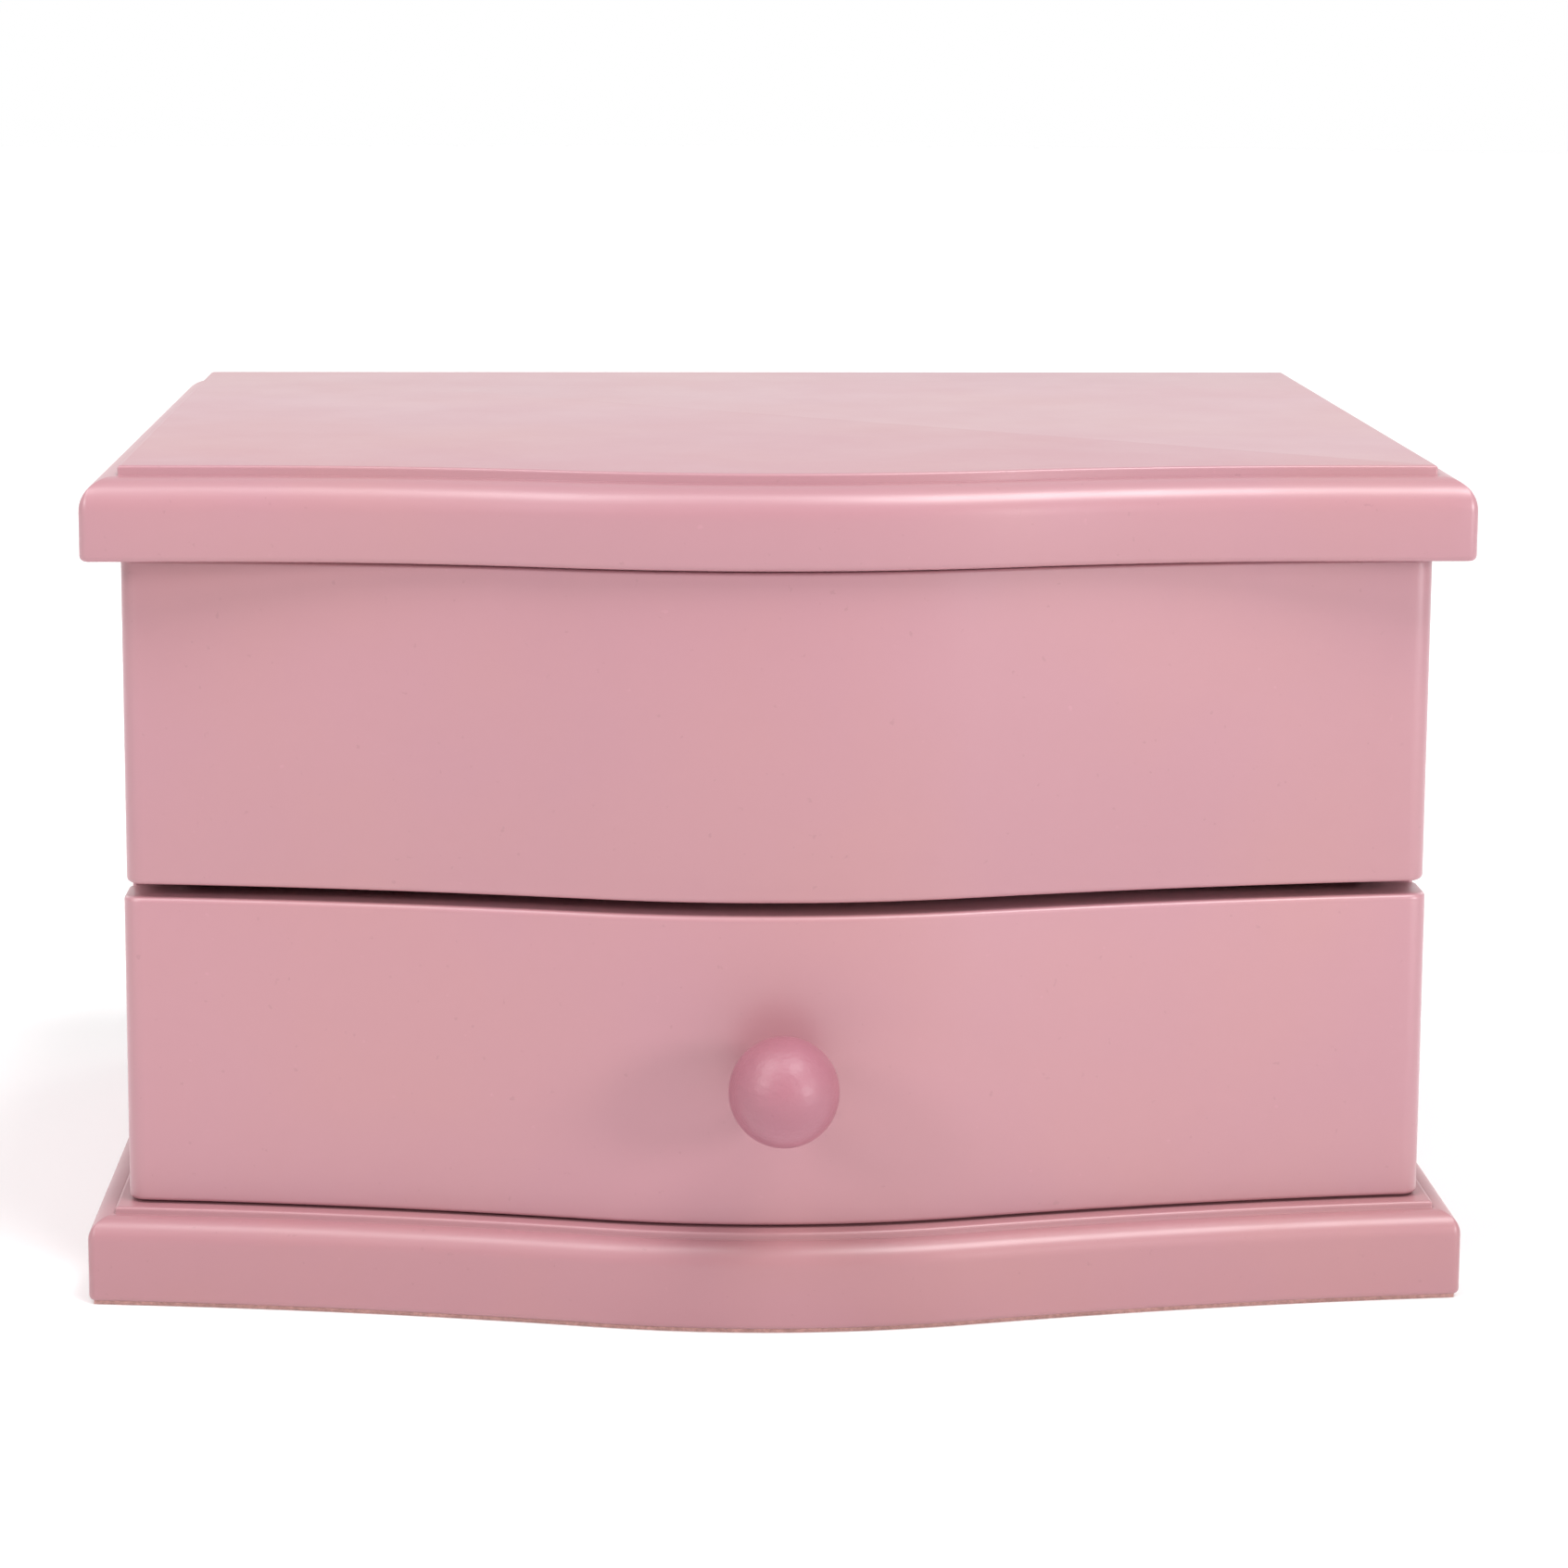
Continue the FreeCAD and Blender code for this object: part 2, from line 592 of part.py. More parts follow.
def bedplate(screws):
    plate = box(BEDPLATE_LEFT, BEDPLATE_RIGHT, BEDPLATE_Y, INNER_BACK_Y, BEDPLATE_LOW, BEDPLATE_HIGH)
    bore = rod(ARBOR_RADIUS + RUNNING_GAP, (0, BEDPLATE_Y - 1, ARBOR_Z), (0, BACK_Y, ARBOR_Z))
    return plate.cut(bore.multiFuse(screws))


def bedplate_screws():
    screws = []
    for x, z in ((BEDPLATE_LEFT + 3.5, BEDPLATE_HIGH - 3.5), (BEDPLATE_LEFT + 3.5, BEDPLATE_LOW + 3.5),
                 (BEDPLATE_RIGHT - 5.5, BEDPLATE_LOW + 3.0)):
        head = rod(2.2, (x, BEDPLATE_Y - 1.2, z), (x, BEDPLATE_Y, z))
        shank = rod(1.1, (x, BEDPLATE_Y - 1, z), (x, BEDPLATE_Y + 9, z))
        screws.append(head.fuse(shank))
    return screws


def spring_housing():
    """A fixed drawn cup that holds the mainspring against the bedplate."""
    cup = rod(HOUSING_RADIUS, (0, HOUSING_FRONT_Y, ARBOR_Z), (0, BEDPLATE_Y, ARBOR_Z))
    inside = HOUSING_FRONT_Y + HOUSING_SHELL
    hollow = rod(HOUSING_RADIUS - HOUSING_SHELL, (0, inside, ARBOR_Z), (0, BEDPLATE_Y + 1, ARBOR_Z))
    bore = rod(ARBOR_RADIUS + RUNNING_GAP, (0, HOUSING_FRONT_Y - 1, ARBOR_Z), (0, BACK_Y, ARBOR_Z))
    return cup.cut(hollow.fuse(bore))


def mainspring():
    """A flat spiral of half turns between the arbor and the housing."""
    turns, start_r, step, band = 5, 2.3, 0.6, 0.3

    def half_turns(radius):
        edges = []
        x = radius
        for k in range(2 * turns):
            side = 1 if k % 2 == 0 else -1
            reach = radius + step * (k + 1)
            end = -side * reach
            middle = (x + end) / 2
            half = abs(x - end) / 2
            edges.append(arc(V(x, 0, ARBOR_Z), V(middle, 0, ARBOR_Z + side * half), V(end, 0, ARBOR_Z)))
            x = end
        return edges

    inner = half_turns(start_r)
    outer = half_turns(start_r + band)
    end = start_r + step * 2 * turns
    caps = [Part.makeLine(V(start_r, 0, ARBOR_Z), V(start_r + band, 0, ARBOR_Z)),
            Part.makeLine(V(end, 0, ARBOR_Z), V(end + band, 0, ARBOR_Z))]
    band_face = Part.Face(Part.Wire(Part.__sortEdges__(inner + caps + outer)))
    band_face.translate(V(0, HOUSING_FRONT_Y + 2, 0))
    return band_face.extrude(V(0, BEDPLATE_Y - HOUSING_FRONT_Y - 3, 0))


def pinned_cylinder():
    """The brass drum with its pins, its shaft and the pinion that the crown wheel drives."""
    axis = (MOVE_Y, ARBOR_Z)
    shaft = rod(DRUM_SHAFT, (CROWN_RADIUS - 2, *axis), (END_GEAR_LEFT + 1.4, *axis))
    drum = rod(DRUM_RADIUS, (DRUM_LEFT, *axis), (DRUM_RIGHT, *axis))
    turn = math.pi / PINION_TEETH
    pinion = gear(PINION_TEETH, GEAR_MODULE, turn, PINION_WIDTH, (CROWN_RADIUS - 1.6, *axis), "X")
    pins = []
    pitch = (DRUM_RIGHT - DRUM_LEFT) / COMB_TEETH
    for k in range(COMB_TEETH):
        for step in (5, 11):
            angle = math.radians((k * 137 + step * 36) % 360)
            x = DRUM_LEFT + pitch * (k + 0.5)
            tip = DRUM_RADIUS + 0.35
            pins.append(rod(0.2, (x, MOVE_Y, ARBOR_Z),
                            (x, MOVE_Y + tip * math.cos(angle), ARBOR_Z + tip * math.sin(angle))))
    return drum.multiFuse([shaft, pinion] + pins)


def cylinder_gear(cylinder):
    wheel = gear(END_GEAR_TEETH, FINE_MODULE, 0, 1.4, (END_GEAR_LEFT, MOVE_Y, ARBOR_Z), "X")
    return wheel.cut(cylinder)


def governor_fly():
    """The governor's shaft with its pinion and two air vanes."""
    y = MOVE_Y + FLY_CENTRES
    shaft = rod(FLY_SHAFT, (POST_RIGHT + 0.2, y, ARBOR_Z), (FLY_POST + POST_THICK, y, ARBOR_Z))
    turn = math.pi + math.pi / FLY_TEETH
    pinion = gear(FLY_TEETH, FINE_MODULE, turn, 1.6, (END_GEAR_LEFT - 0.1, y, ARBOR_Z), "X")
    left = END_GEAR_LEFT + 2.2
    right = FLY_POST - 0.6
    hub = rod(1.2, (left, y, ARBOR_Z), (right, y, ARBOR_Z))
    vane = box(left, right, y - FLY_RADIUS, y + FLY_RADIUS, ARBOR_Z - 0.25, ARBOR_Z + 0.25)
    return shaft.multiFuse([pinion, hub, vane])


def post(left, front):
    return box(left, left + POST_THICK, front, BEDPLATE_Y, ARBOR_Z - 3.5, ARBOR_Z + 3.5)


def cylinder_posts():
    """Two upright brackets with the cylinder's bearings; the right one also holds the governor."""
    right = POST_RIGHT + POST_THICK
    shaft = rod(DRUM_SHAFT + RUNNING_GAP, (0, MOVE_Y, ARBOR_Z), (right + 1, MOVE_Y, ARBOR_Z))
    fly_y = MOVE_Y + FLY_CENTRES
    fly = rod(FLY_SHAFT + RUNNING_GAP, (POST_RIGHT - 1, fly_y, ARBOR_Z), (right + 1, fly_y, ARBOR_Z))
    left_post = post(POST_LEFT, MOVE_Y - 3).cut(shaft)
    right_post = post(POST_RIGHT, MOVE_Y - 3).cut(shaft).cut(fly)
    return Part.makeCompound([left_post, right_post])


def governor_post():
    fly_y = MOVE_Y + FLY_CENTRES
    bore = rod(FLY_SHAFT + RUNNING_GAP, (FLY_POST - 1, fly_y, ARBOR_Z),
               (FLY_POST + POST_THICK + 1, fly_y, ARBOR_Z))
    return post(FLY_POST, fly_y - 3).cut(bore)


def comb_bracket(screws):
    block = box(DRUM_LEFT, DRUM_RIGHT, MOVE_Y + COMB_THICK / 2, BEDPLATE_Y, COMB_ROOT + 0.4, COMB_HIGH)
    return block.cut(Part.makeCompound(screws))


def comb(screws):
    """The tuned steel comb, its teeth pointing down to the pinned cylinder."""
    plate = box(DRUM_LEFT, DRUM_RIGHT, MOVE_Y - COMB_THICK / 2, MOVE_Y + COMB_THICK / 2, COMB_LOW,
                COMB_HIGH)
    pitch = (DRUM_RIGHT - DRUM_LEFT) / COMB_TEETH
    slits = []
    for k in range(1, COMB_TEETH):
        x = DRUM_LEFT + pitch * k
        slits.append(box(x - 0.14, x + 0.14, MOVE_Y - 2, MOVE_Y + 2, COMB_LOW - 1, COMB_ROOT))
    return plate.cut(Part.makeCompound(slits + screws))


def comb_screws():
    screws = []
    face = MOVE_Y - COMB_THICK / 2
    z = (COMB_ROOT + COMB_HIGH) / 2 + 0.2
    for x in (DRUM_LEFT + 4, DRUM_RIGHT - 4):
        head = rod(1.4, (x, face - 1, z), (x, face, z))
        screws.append(head.fuse(rod(0.8, (x, face - 0.5, z), (x, face + 6, z))))
    return screws


def spindle_bracket():
    """An arm over the spring housing that steadies the ballerina's spindle."""
    arm = box(-BRACKET_HALF, BRACKET_HALF, MOVE_Y - 3.5, BEDPLATE_Y, BRACKET_LOW, BRACKET_HIGH)
    bore = rod(SPINDLE_RADIUS + RUNNING_GAP, (0, MOVE_Y, BRACKET_LOW - 1), (0, MOVE_Y, BRACKET_HIGH + 1))
    return arm.cut(bore)


def ballerina_spindle():
    """The upright shaft that the crown wheel turns, with a flange that carries the spring."""
    z = ARBOR_Z + CROWN_RADIUS
    turn = math.pi / 2 + math.pi / PINION_TEETH
    pinion = gear(PINION_TEETH, GEAR_MODULE, turn, PINION_WIDTH, (0, MOVE_Y, z - PINION_WIDTH / 2), "Z")
    shaft = rod(SPINDLE_RADIUS, (0, MOVE_Y, z - 2.6), (0, MOVE_Y, SPRING_Z - 0.4))
    flange = rod(SPINDLE_FLANGE, (0, MOVE_Y, COVER_TOP + 0.3), (0, MOVE_Y, SPRING_Z - 0.1))
    return shaft.multiFuse([pinion, flange])


def stop_plunger():
    """The pin that the closed lid holds down against the governor."""
    y = MOVE_Y + FLY_CENTRES
    low = ARBOR_Z + FLY_RADIUS + STOP_ABOVE_FLY
    high = LID_LOW - PLUNGER_GAP
    pin = rod(PLUNGER_RADIUS, (PLUNGER_X, y, low), (PLUNGER_X, y, high))
    return pin.fuse(rod(PLUNGER_HEAD_RADIUS, (PLUNGER_X, y, high - PLUNGER_HEAD_THICK), (PLUNGER_X, y, high)))


# ---- ballerina, lying forward under the closed lid ----------------------------------------------
def ballerina_spring():
    """The coil spring's outer shape: a tube bent forward through a quarter turn."""
    start = V(0, MOVE_Y, SPRING_Z)
    end = V(0, FIGURE_Y, FIGURE_Z)
    half = SPRING_BEND * math.sqrt(0.5)
    middle = V(0, FIGURE_Y + half, SPRING_Z + half)
    spine = Part.Wire(arc(start, middle, end))
    outer = Part.Wire(Part.makeCircle(SPRING_COIL, start, V(0, 0, 1)))
    inner = Part.Wire(Part.makeCircle(SPRING_COIL - 2 * SPRING_WIRE, start, V(0, 0, 1)))
    return spine.makePipeShell([outer], True, True).cut(spine.makePipeShell([inner], True, True))


def lay_forward(shape):
    """Lay an upright shape down so that its soles are at the spring and its head points forward."""
    shape.rotate(V(0, 0, 0), V(1, 0, 0), 90)
    shape.translate(V(0, FIGURE_Y - 0.1, FIGURE_Z))
    return shape


def turned(profile):
    """A solid of revolution about Z from (radius, height) points."""
    points = [V(radius, 0, height) for radius, height in profile]
    face = Part.Face(Part.makePolygon(points + points[:1]))
    return face.revolve(V(0, 0, 0), V(0, 0, 1), 360)


def ballerina_figure():
    """A dancer on the points of her toes, arms raised in a ring, standing on a small peg."""
    peg = rod(SPRING_COIL, (0, 0, 0), (0, 0, 1.6))
    legs = [Part.makeCone(0.55, 1.35, 18.5, V(side * 0.75, 0, 1.0), V(side * 0.02, 0, 1))
            for side in (-1, 1)]
    waist = TUTU_AT + 1.5
    body = turned([(0, 18.5), (1.9, 18.5), (2.4, 20.5), (1.6, waist + 1.5), (2.2, waist + 7),
                   (2.3, waist + 9.5), (0.9, waist + 11), (0.75, waist + 13), (0, waist + 13)])
    head = Part.makeSphere(2.6, V(0, 0, waist + 14.8))
    bun = Part.makeSphere(1.2, V(0, 1.7, waist + 17.2))
    shoulder = waist + 9.2
    arms = []
    for side in (-1, 1):
        hand = V(side * 0.6, -0.4, FIGURE_HEIGHT - 0.7)
        elbow = V(side * 4.6, -0.6, shoulder + 7)
        path = arc(V(side * 2.0, 0, shoulder), elbow, hand)
        along = path.tangentAt(path.FirstParameter)
        ring = Part.Wire(Part.makeCircle(0.65, V(side * 2.0, 0, shoulder), along))
        arms.append(Part.Wire(path).makePipeShell([ring], True, True))
    return lay_forward(peg.multiFuse(legs + [body, head, bun] + arms))


def tutu():
    """The skirt's outer shape: a shallow dished ring around the hips."""
    z = TUTU_AT
    ring = [(2.5, z - 1.4), (TUTU_RADIUS, z - 0.2), (TUTU_RADIUS, z + 0.6), (2.5, z + 1.2)]
    return lay_forward(turned(ring))


def build():
    os.makedirs("parts", exist_ok=True)
    case_screws = hinge_screws(-1)
    lid_screws = hinge_screws(1)
    plate_screws = bedplate_screws()
    knob_fixing = knob_screw()
    fixings = comb_screws()
    arbor_rod = arbor()
    cylinder = pinned_cylinder()
    save("base_plinth", base_plinth())
    save("base_felt", base_felt())
    for name, side in (("left", -1), ("right", 1)):
        save("side_wall_" + name, side_wall(side))
        save("drawer_side_" + name, drawer_side(side))
        save("divider_" + name, long_divider(side))
        save("case_leaf_" + name, hinge_leaf(side * HINGE_X, False, case_screws))
        save("lid_leaf_" + name, hinge_leaf(side * HINGE_X, True, lid_screws))
    save("back_wall", back_wall(case_screws + plate_screws))
    save("front_panel", front_panel())
    save("case_shelf", case_shelf())
    save("shelf_lining", shelf_lining())
    save("wall_lining", wall_lining())
    save("ring_divider", cross_divider(-1, CROSS_DIVIDER_Y))
    save("trinket_divider", cross_divider(1, SIDE_DIVIDER_Y))
    for index in range(ROLL_COUNT):
        save("ring_roll_" + str(index + 1), ring_roll(index))
    save("drawer_stop", drawer_stop())
    save("movement_cover", movement_cover())
    save("drawer_front", drawer_front())
    save("drawer_back", drawer_back())
    save("drawer_bottom", drawer_bottom())
    save("drawer_lining", drawer_lining())
    save("knob", knob(knob_fixing))
    save("knob_screw", knob_fixing)
    save("lid_board", lid_board(lid_screws))
    save("lid_lining", lid_lining())
    save("mirror", mirror())
    save("mirror_frame", mirror_frame())
    save("hinge_pins", hinge_pins())
    save("case_hinge_screws", Part.makeCompound(case_screws))
    save("lid_hinge_screws", Part.makeCompound(lid_screws))
    save("bedplate", bedplate(plate_screws))
    save("bedplate_screws", Part.makeCompound(plate_screws))
    save("spring_housing", spring_housing())
    save("mainspring", mainspring())
    save("winding_arbor", arbor_rod)
    save("winding_key", winding_key(arbor_rod))
    save("crown_wheel", crown_wheel(arbor_rod))
    save("pinned_cylinder", cylinder)
    save("cylinder_gear", cylinder_gear(cylinder))
    save("cylinder_posts", cylinder_posts())
    save("governor_fly", governor_fly())
    save("governor_post", governor_post())
    save("comb", comb(fixings))
    save("comb_bracket", comb_bracket(fixings))
    save("comb_screws", Part.makeCompound(fixings))
    save("spindle_bracket", spindle_bracket())
    save("ballerina_spindle", ballerina_spindle())
    save("stop_plunger", stop_plunger())
    save("ballerina_spring", ballerina_spring())
    save("ballerina_figure", ballerina_figure())
    save("tutu", tutu())


build()
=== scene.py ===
import bpy
import bmesh
import json
import math
from mathutils import Matrix, Vector, noise


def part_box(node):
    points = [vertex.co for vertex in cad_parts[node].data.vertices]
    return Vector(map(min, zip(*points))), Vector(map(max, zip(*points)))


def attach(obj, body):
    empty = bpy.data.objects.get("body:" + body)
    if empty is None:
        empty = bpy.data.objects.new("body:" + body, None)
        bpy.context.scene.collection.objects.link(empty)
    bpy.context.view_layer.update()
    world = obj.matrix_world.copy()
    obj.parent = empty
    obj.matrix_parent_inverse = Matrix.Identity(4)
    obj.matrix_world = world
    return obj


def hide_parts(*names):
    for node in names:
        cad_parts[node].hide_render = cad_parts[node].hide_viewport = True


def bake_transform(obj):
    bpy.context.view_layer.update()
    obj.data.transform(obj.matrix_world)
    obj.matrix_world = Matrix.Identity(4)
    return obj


# Ballerina jewellery box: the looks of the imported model. Metres, in the model's own frame.

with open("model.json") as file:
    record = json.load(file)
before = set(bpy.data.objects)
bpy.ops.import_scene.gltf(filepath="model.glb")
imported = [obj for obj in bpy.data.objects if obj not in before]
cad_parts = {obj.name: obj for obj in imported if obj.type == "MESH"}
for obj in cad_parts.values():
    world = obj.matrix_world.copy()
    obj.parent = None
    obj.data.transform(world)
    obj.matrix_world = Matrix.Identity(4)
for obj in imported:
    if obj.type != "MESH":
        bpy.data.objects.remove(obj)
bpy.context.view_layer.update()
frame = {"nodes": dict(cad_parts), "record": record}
nodes = frame["nodes"]


def middle(node):
    """The middle of a CAD node's box."""
    low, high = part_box(node)
    return (low + high) / 2


# ---- sizes and places, in metres ----------------------------------------------------------------
CASE_BOW = (0.135, 12.3, 0.566)     # radius of the middle, slope in degrees, radius of the ends
LID_BOW = (0.150, 13.2, 0.2222)
BASE_ROUND = 0.0035
BASE_LIP = 0.001
LID_ROUND = 0.005
LID_LIP = 0.0015
LEDGE = 0.0004
LEDGE_FILLET = 0.0001
PANEL_CORNER = 0.003
PANEL_FOOT_ROUND = 0.0008
PANEL_TOP_ROUND = 0.0006
DRAWER_FOOT_ROUND = 0.0006
DRAWER_TOP_ROUND = 0.0008
BASE_FOOT_ROUND = 0.0008
BASE_CORNER = 0.0013
LID_FOOT_ROUND = 0.0009
LID_CORNER = 0.0015
LIP_ROUND = 0.0005
BACK_EASE = 0.0004
PLAIN_BACK_EASE = 0.0005
KNOB_RADIUS = 0.008
KNOB_PAINT = 0.00022             # lacquer adds to the bare ball
NECK_FOOT_RADIUS = 0.0047
NECK_DIP = 0.0006
MM = 0.001
SPINDLE_Y = middle("ballerina_spindle").y
HINGE_X = middle("case_leaf_right").x
SCREW_X = 0.0095                # from the middle of a hinge to its screws


# ---- materials ----------------------------------------------------------------------------------
class Shader:
    """A Principled material with small helpers for the nodes that vary its colour and surface."""

    def __init__(self, name, colour, roughness, **fixed):
        self.made = bpy.data.materials.new(name)
        self.made.use_nodes = True
        self.tree = self.made.node_tree
        self.surface = self.tree.nodes["Principled BSDF"]
        self.colour = colour
        self.surface.inputs["Base Color"].default_value = (*colour, 1)
        self.surface.inputs["Roughness"].default_value = roughness
        for key, value in fixed.items():
            self.surface.inputs[key.replace("_", " ")].default_value = value
        self.place = self.node("ShaderNodeTexCoord").outputs["Object"]
        self.colour_out = None
        self.bump_out = None

    def node(self, kind, **settings):
        made = self.tree.nodes.new(kind)
        for key, value in settings.items():
            setattr(made, key, value)
        return made

    def link(self, a, b):
        self.tree.links.new(a, b)

    def noise(self, scale, detail=3.0, stretch=None, roughness=0.5):
        source = self.place
        if stretch:
            mapping = self.node("ShaderNodeMapping")
            mapping.inputs["Scale"].default_value = stretch
            self.link(source, mapping.inputs["Vector"])
            source = mapping.outputs["Vector"]
        made = self.node("ShaderNodeTexNoise")
        made.inputs["Scale"].default_value = scale
        made.inputs["Detail"].default_value = detail
        made.inputs["Roughness"].default_value = roughness
        self.link(source, made.inputs["Vector"])
        return made.outputs["Fac"]

    def between(self, fac, low, high, out_low=0.0, out_high=1.0):
        made = self.node("ShaderNodeMapRange")
        for key, value in (("From Min", low), ("From Max", high), ("To Min", out_low),
                           ("To Max", out_high)):
            made.inputs[key].default_value = value
        self.link(fac, made.inputs["Value"])
        return made.outputs["Result"]

    def tint(self, fac, colour):
        """Mix the colour so far with another one, by fac."""
        mix = self.node("ShaderNodeMix", data_type="RGBA")
        if self.colour_out is None:
            mix.inputs["A"].default_value = (*self.colour, 1)
        else:
            self.link(self.colour_out, mix.inputs["A"])
        mix.inputs["B"].default_value = (*colour, 1)
        self.link(fac, mix.inputs["Factor"])
        self.colour_out = mix.outputs["Result"]
        self.link(self.colour_out, self.surface.inputs["Base Color"])

    def rough(self, fac, low, high):
        self.link(self.between(fac, 0.3, 0.7, low, high), self.surface.inputs["Roughness"])

    def bump(self, fac, depth, strength=1.0):
        made = self.node("ShaderNodeBump")
        made.inputs["Strength"].default_value = strength
        made.inputs["Distance"].default_value = depth
        self.link(fac, made.inputs["Height"])
        if self.bump_out is not None:
            self.link(self.bump_out, made.inputs["Normal"])
        self.bump_out = made.outputs["Normal"]
        self.link(self.bump_out, self.surface.inputs["Normal"])


def scaled(colour, amount):
    return tuple(min(1.0, c * amount) for c in colour)


def lacquer(name, colour, seed=0.0, coat=0.55, rough=0.42, peel=0.00002, peel_scale=420):
    """Sprayed satin lacquer on board: slight orange peel, faint clouding, a few dust specks."""
    s = Shader(name, colour, rough, Coat_Weight=coat, Coat_Roughness=0.28)
    s.tint(s.between(s.noise(14, 4), 0.35, 0.7, 0.0, 0.30), scaled(colour, 0.93))
    s.tint(s.between(s.noise(22 + seed, 3), 0.42, 0.68, 0.0, 0.6),
           (colour[0] * 1.02, colour[1] * 1.03, colour[2] * 0.93))
    s.tint(s.between(s.noise(700 + seed, 2), 0.71, 0.77, 0.0, 0.35), scaled(colour, 0.72))
    s.tint(s.between(s.noise(520 + seed, 2), 0.74, 0.80, 0.0, 0.35), scaled(colour, 1.2))
    s.rough(s.noise(60, 4), rough - 0.04, rough + 0.06)
    s.bump(s.noise(peel_scale, 2), peel, 0.5)
    s.bump(s.noise(90, 2), 0.00004, 0.2)
    return s.made


def velvet(name, colour, sheen=0.9):
    """Short-pile velvet: brushed patches, fine pile, a soft bright edge."""
    s = Shader(name, colour, 0.92, Sheen_Weight=sheen, Sheen_Roughness=0.45,
               Sheen_Tint=(*scaled(colour, 1.7), 1))
    s.tint(s.between(s.noise(55, 4), 0.35, 0.65, 0.0, 0.55), scaled(colour, 0.68))
    s.tint(s.between(s.noise(2600, 2), 0.45, 0.75, 0.0, 0.5), scaled(colour, 1.35))
    s.rough(s.noise(80, 3), 0.85, 0.98)
    s.bump(s.noise(6500, 2), 0.00009, 0.6)
    s.bump(s.noise(900, 3, (1.0, 1.0, 0.5)), 0.00006, 0.25)
    return s.made


def felt(name, colour):
    """Pressed felt: tangled fibres over soft patches."""
    s = Shader(name, colour, 0.95, Sheen_Weight=0.25)
    s.tint(s.between(s.noise(1500, 5), 0.35, 0.7), scaled(colour, 1.5))
    s.tint(s.between(s.noise(30, 3), 0.4, 0.7, 0.0, 0.5), scaled(colour, 0.75))
    s.rough(s.noise(400, 3), 0.88, 1.0)
    s.bump(s.noise(1300, 5), 0.0003, 0.9)
    return s.made


def raw_wood(name, colour, along=0):
    """Sanded unpainted wood with long grain along X, or along Y if along is 1."""
    s = Shader(name, colour, 0.62)

    def grain(scale, detail, long_way, cross_way):
        stretch = [cross_way, cross_way, cross_way]
        stretch[along] = long_way
        return s.noise(scale, detail, tuple(stretch))

    s.tint(s.between(grain(22, 4, 0.7, 14.0), 0.38, 0.66, 0.0, 0.75), scaled(colour, 0.74))
    s.tint(s.between(grain(160, 3, 0.3, 8.0), 0.58, 0.72, 0.0, 0.45), scaled(colour, 0.55))
    s.rough(s.noise(120, 3), 0.55, 0.72)
    s.bump(grain(160, 3, 0.3, 9.0), 0.00008, 0.5)
    return s.made


def metal(name, colour, roughness, brushed=(1.0, 1.0, 1.0), depth=0.00003):
    """Metal with faint tarnish and fine marks, stretched where it is brushed."""
    s = Shader(name, colour, roughness, Metallic=1.0)
    s.tint(s.between(s.noise(40, 3), 0.35, 0.7, 0.0, 0.25), scaled(colour, 0.85))
    s.tint(s.between(s.noise(900, 3, brushed), 0.5, 0.75, 0.0, 0.25), scaled(colour, 0.78))
    s.rough(s.noise(260, 3, brushed), roughness * 0.85, roughness * 1.2)
    s.bump(s.noise(1200, 2, brushed), depth, 0.5)
    return s.made


def silvered_glass(name):
    s = Shader(name, (0.92, 0.93, 0.94), 0.015, Metallic=1.0)
    s.tint(s.between(s.noise(35, 3), 0.55, 0.8, 0.0, 0.12), (0.75, 0.77, 0.80))
    s.rough(s.noise(24, 3), 0.008, 0.03)
    s.bump(s.noise(9, 1), 0.00002, 0.15)
    return s.made


def smooth_plastic(name, colour, roughness=0.35, grain=900):
    s = Shader(name, colour, roughness, Coat_Weight=0.15, Coat_Roughness=0.3)
    s.tint(s.between(s.noise(180, 3), 0.4, 0.7, 0.0, 0.35), scaled(colour, 0.86))
    s.rough(s.noise(500, 3), roughness * 0.85, roughness * 1.2)
    s.bump(s.noise(grain, 2), 0.00003, 0.3)
    return s.made


def satin_cloth(name, colour):
    """Satin: a fine diagonal weave with a soft sheen."""
    s = Shader(name, colour, 0.42, Sheen_Weight=0.5, Sheen_Roughness=0.3)
    wave = s.node("ShaderNodeTexWave", wave_type="BANDS", bands_direction="DIAGONAL")
    wave.inputs["Scale"].default_value = 1400
    wave.inputs["Distortion"].default_value = 0.6
    s.link(s.place, wave.inputs["Vector"])
    s.tint(s.between(wave.outputs["Fac"], 0.2, 0.9, 0.0, 0.3), scaled(colour, 0.82))
    s.tint(s.between(s.noise(90, 3), 0.4, 0.7, 0.0, 0.4), scaled(colour, 1.18))
    s.rough(s.noise(300, 3), 0.36, 0.5)
    s.bump(wave.outputs["Fac"], 0.00004, 0.5)
    return s.made


def net(name, colour):
    """Fine net: hexagon-like holes between thin threads, over a faint sheen."""
    s = Shader(name, colour, 0.6, Sheen_Weight=0.7, Sheen_Roughness=0.4)
    cells = s.node("ShaderNodeTexVoronoi", feature="DISTANCE_TO_EDGE")
    cells.inputs["Scale"].default_value = 2600
    cells.inputs["Randomness"].default_value = 0.35
    s.link(s.place, cells.inputs["Vector"])
    thread = s.between(cells.outputs["Distance"], 0.10, 0.22, 1.0, 0.42)
    s.link(thread, s.surface.inputs["Alpha"])
    s.tint(s.between(s.noise(150, 3), 0.4, 0.7, 0.0, 0.5), scaled(colour, 1.15))
    s.rough(s.noise(800, 2), 0.5, 0.7)
    return s.made


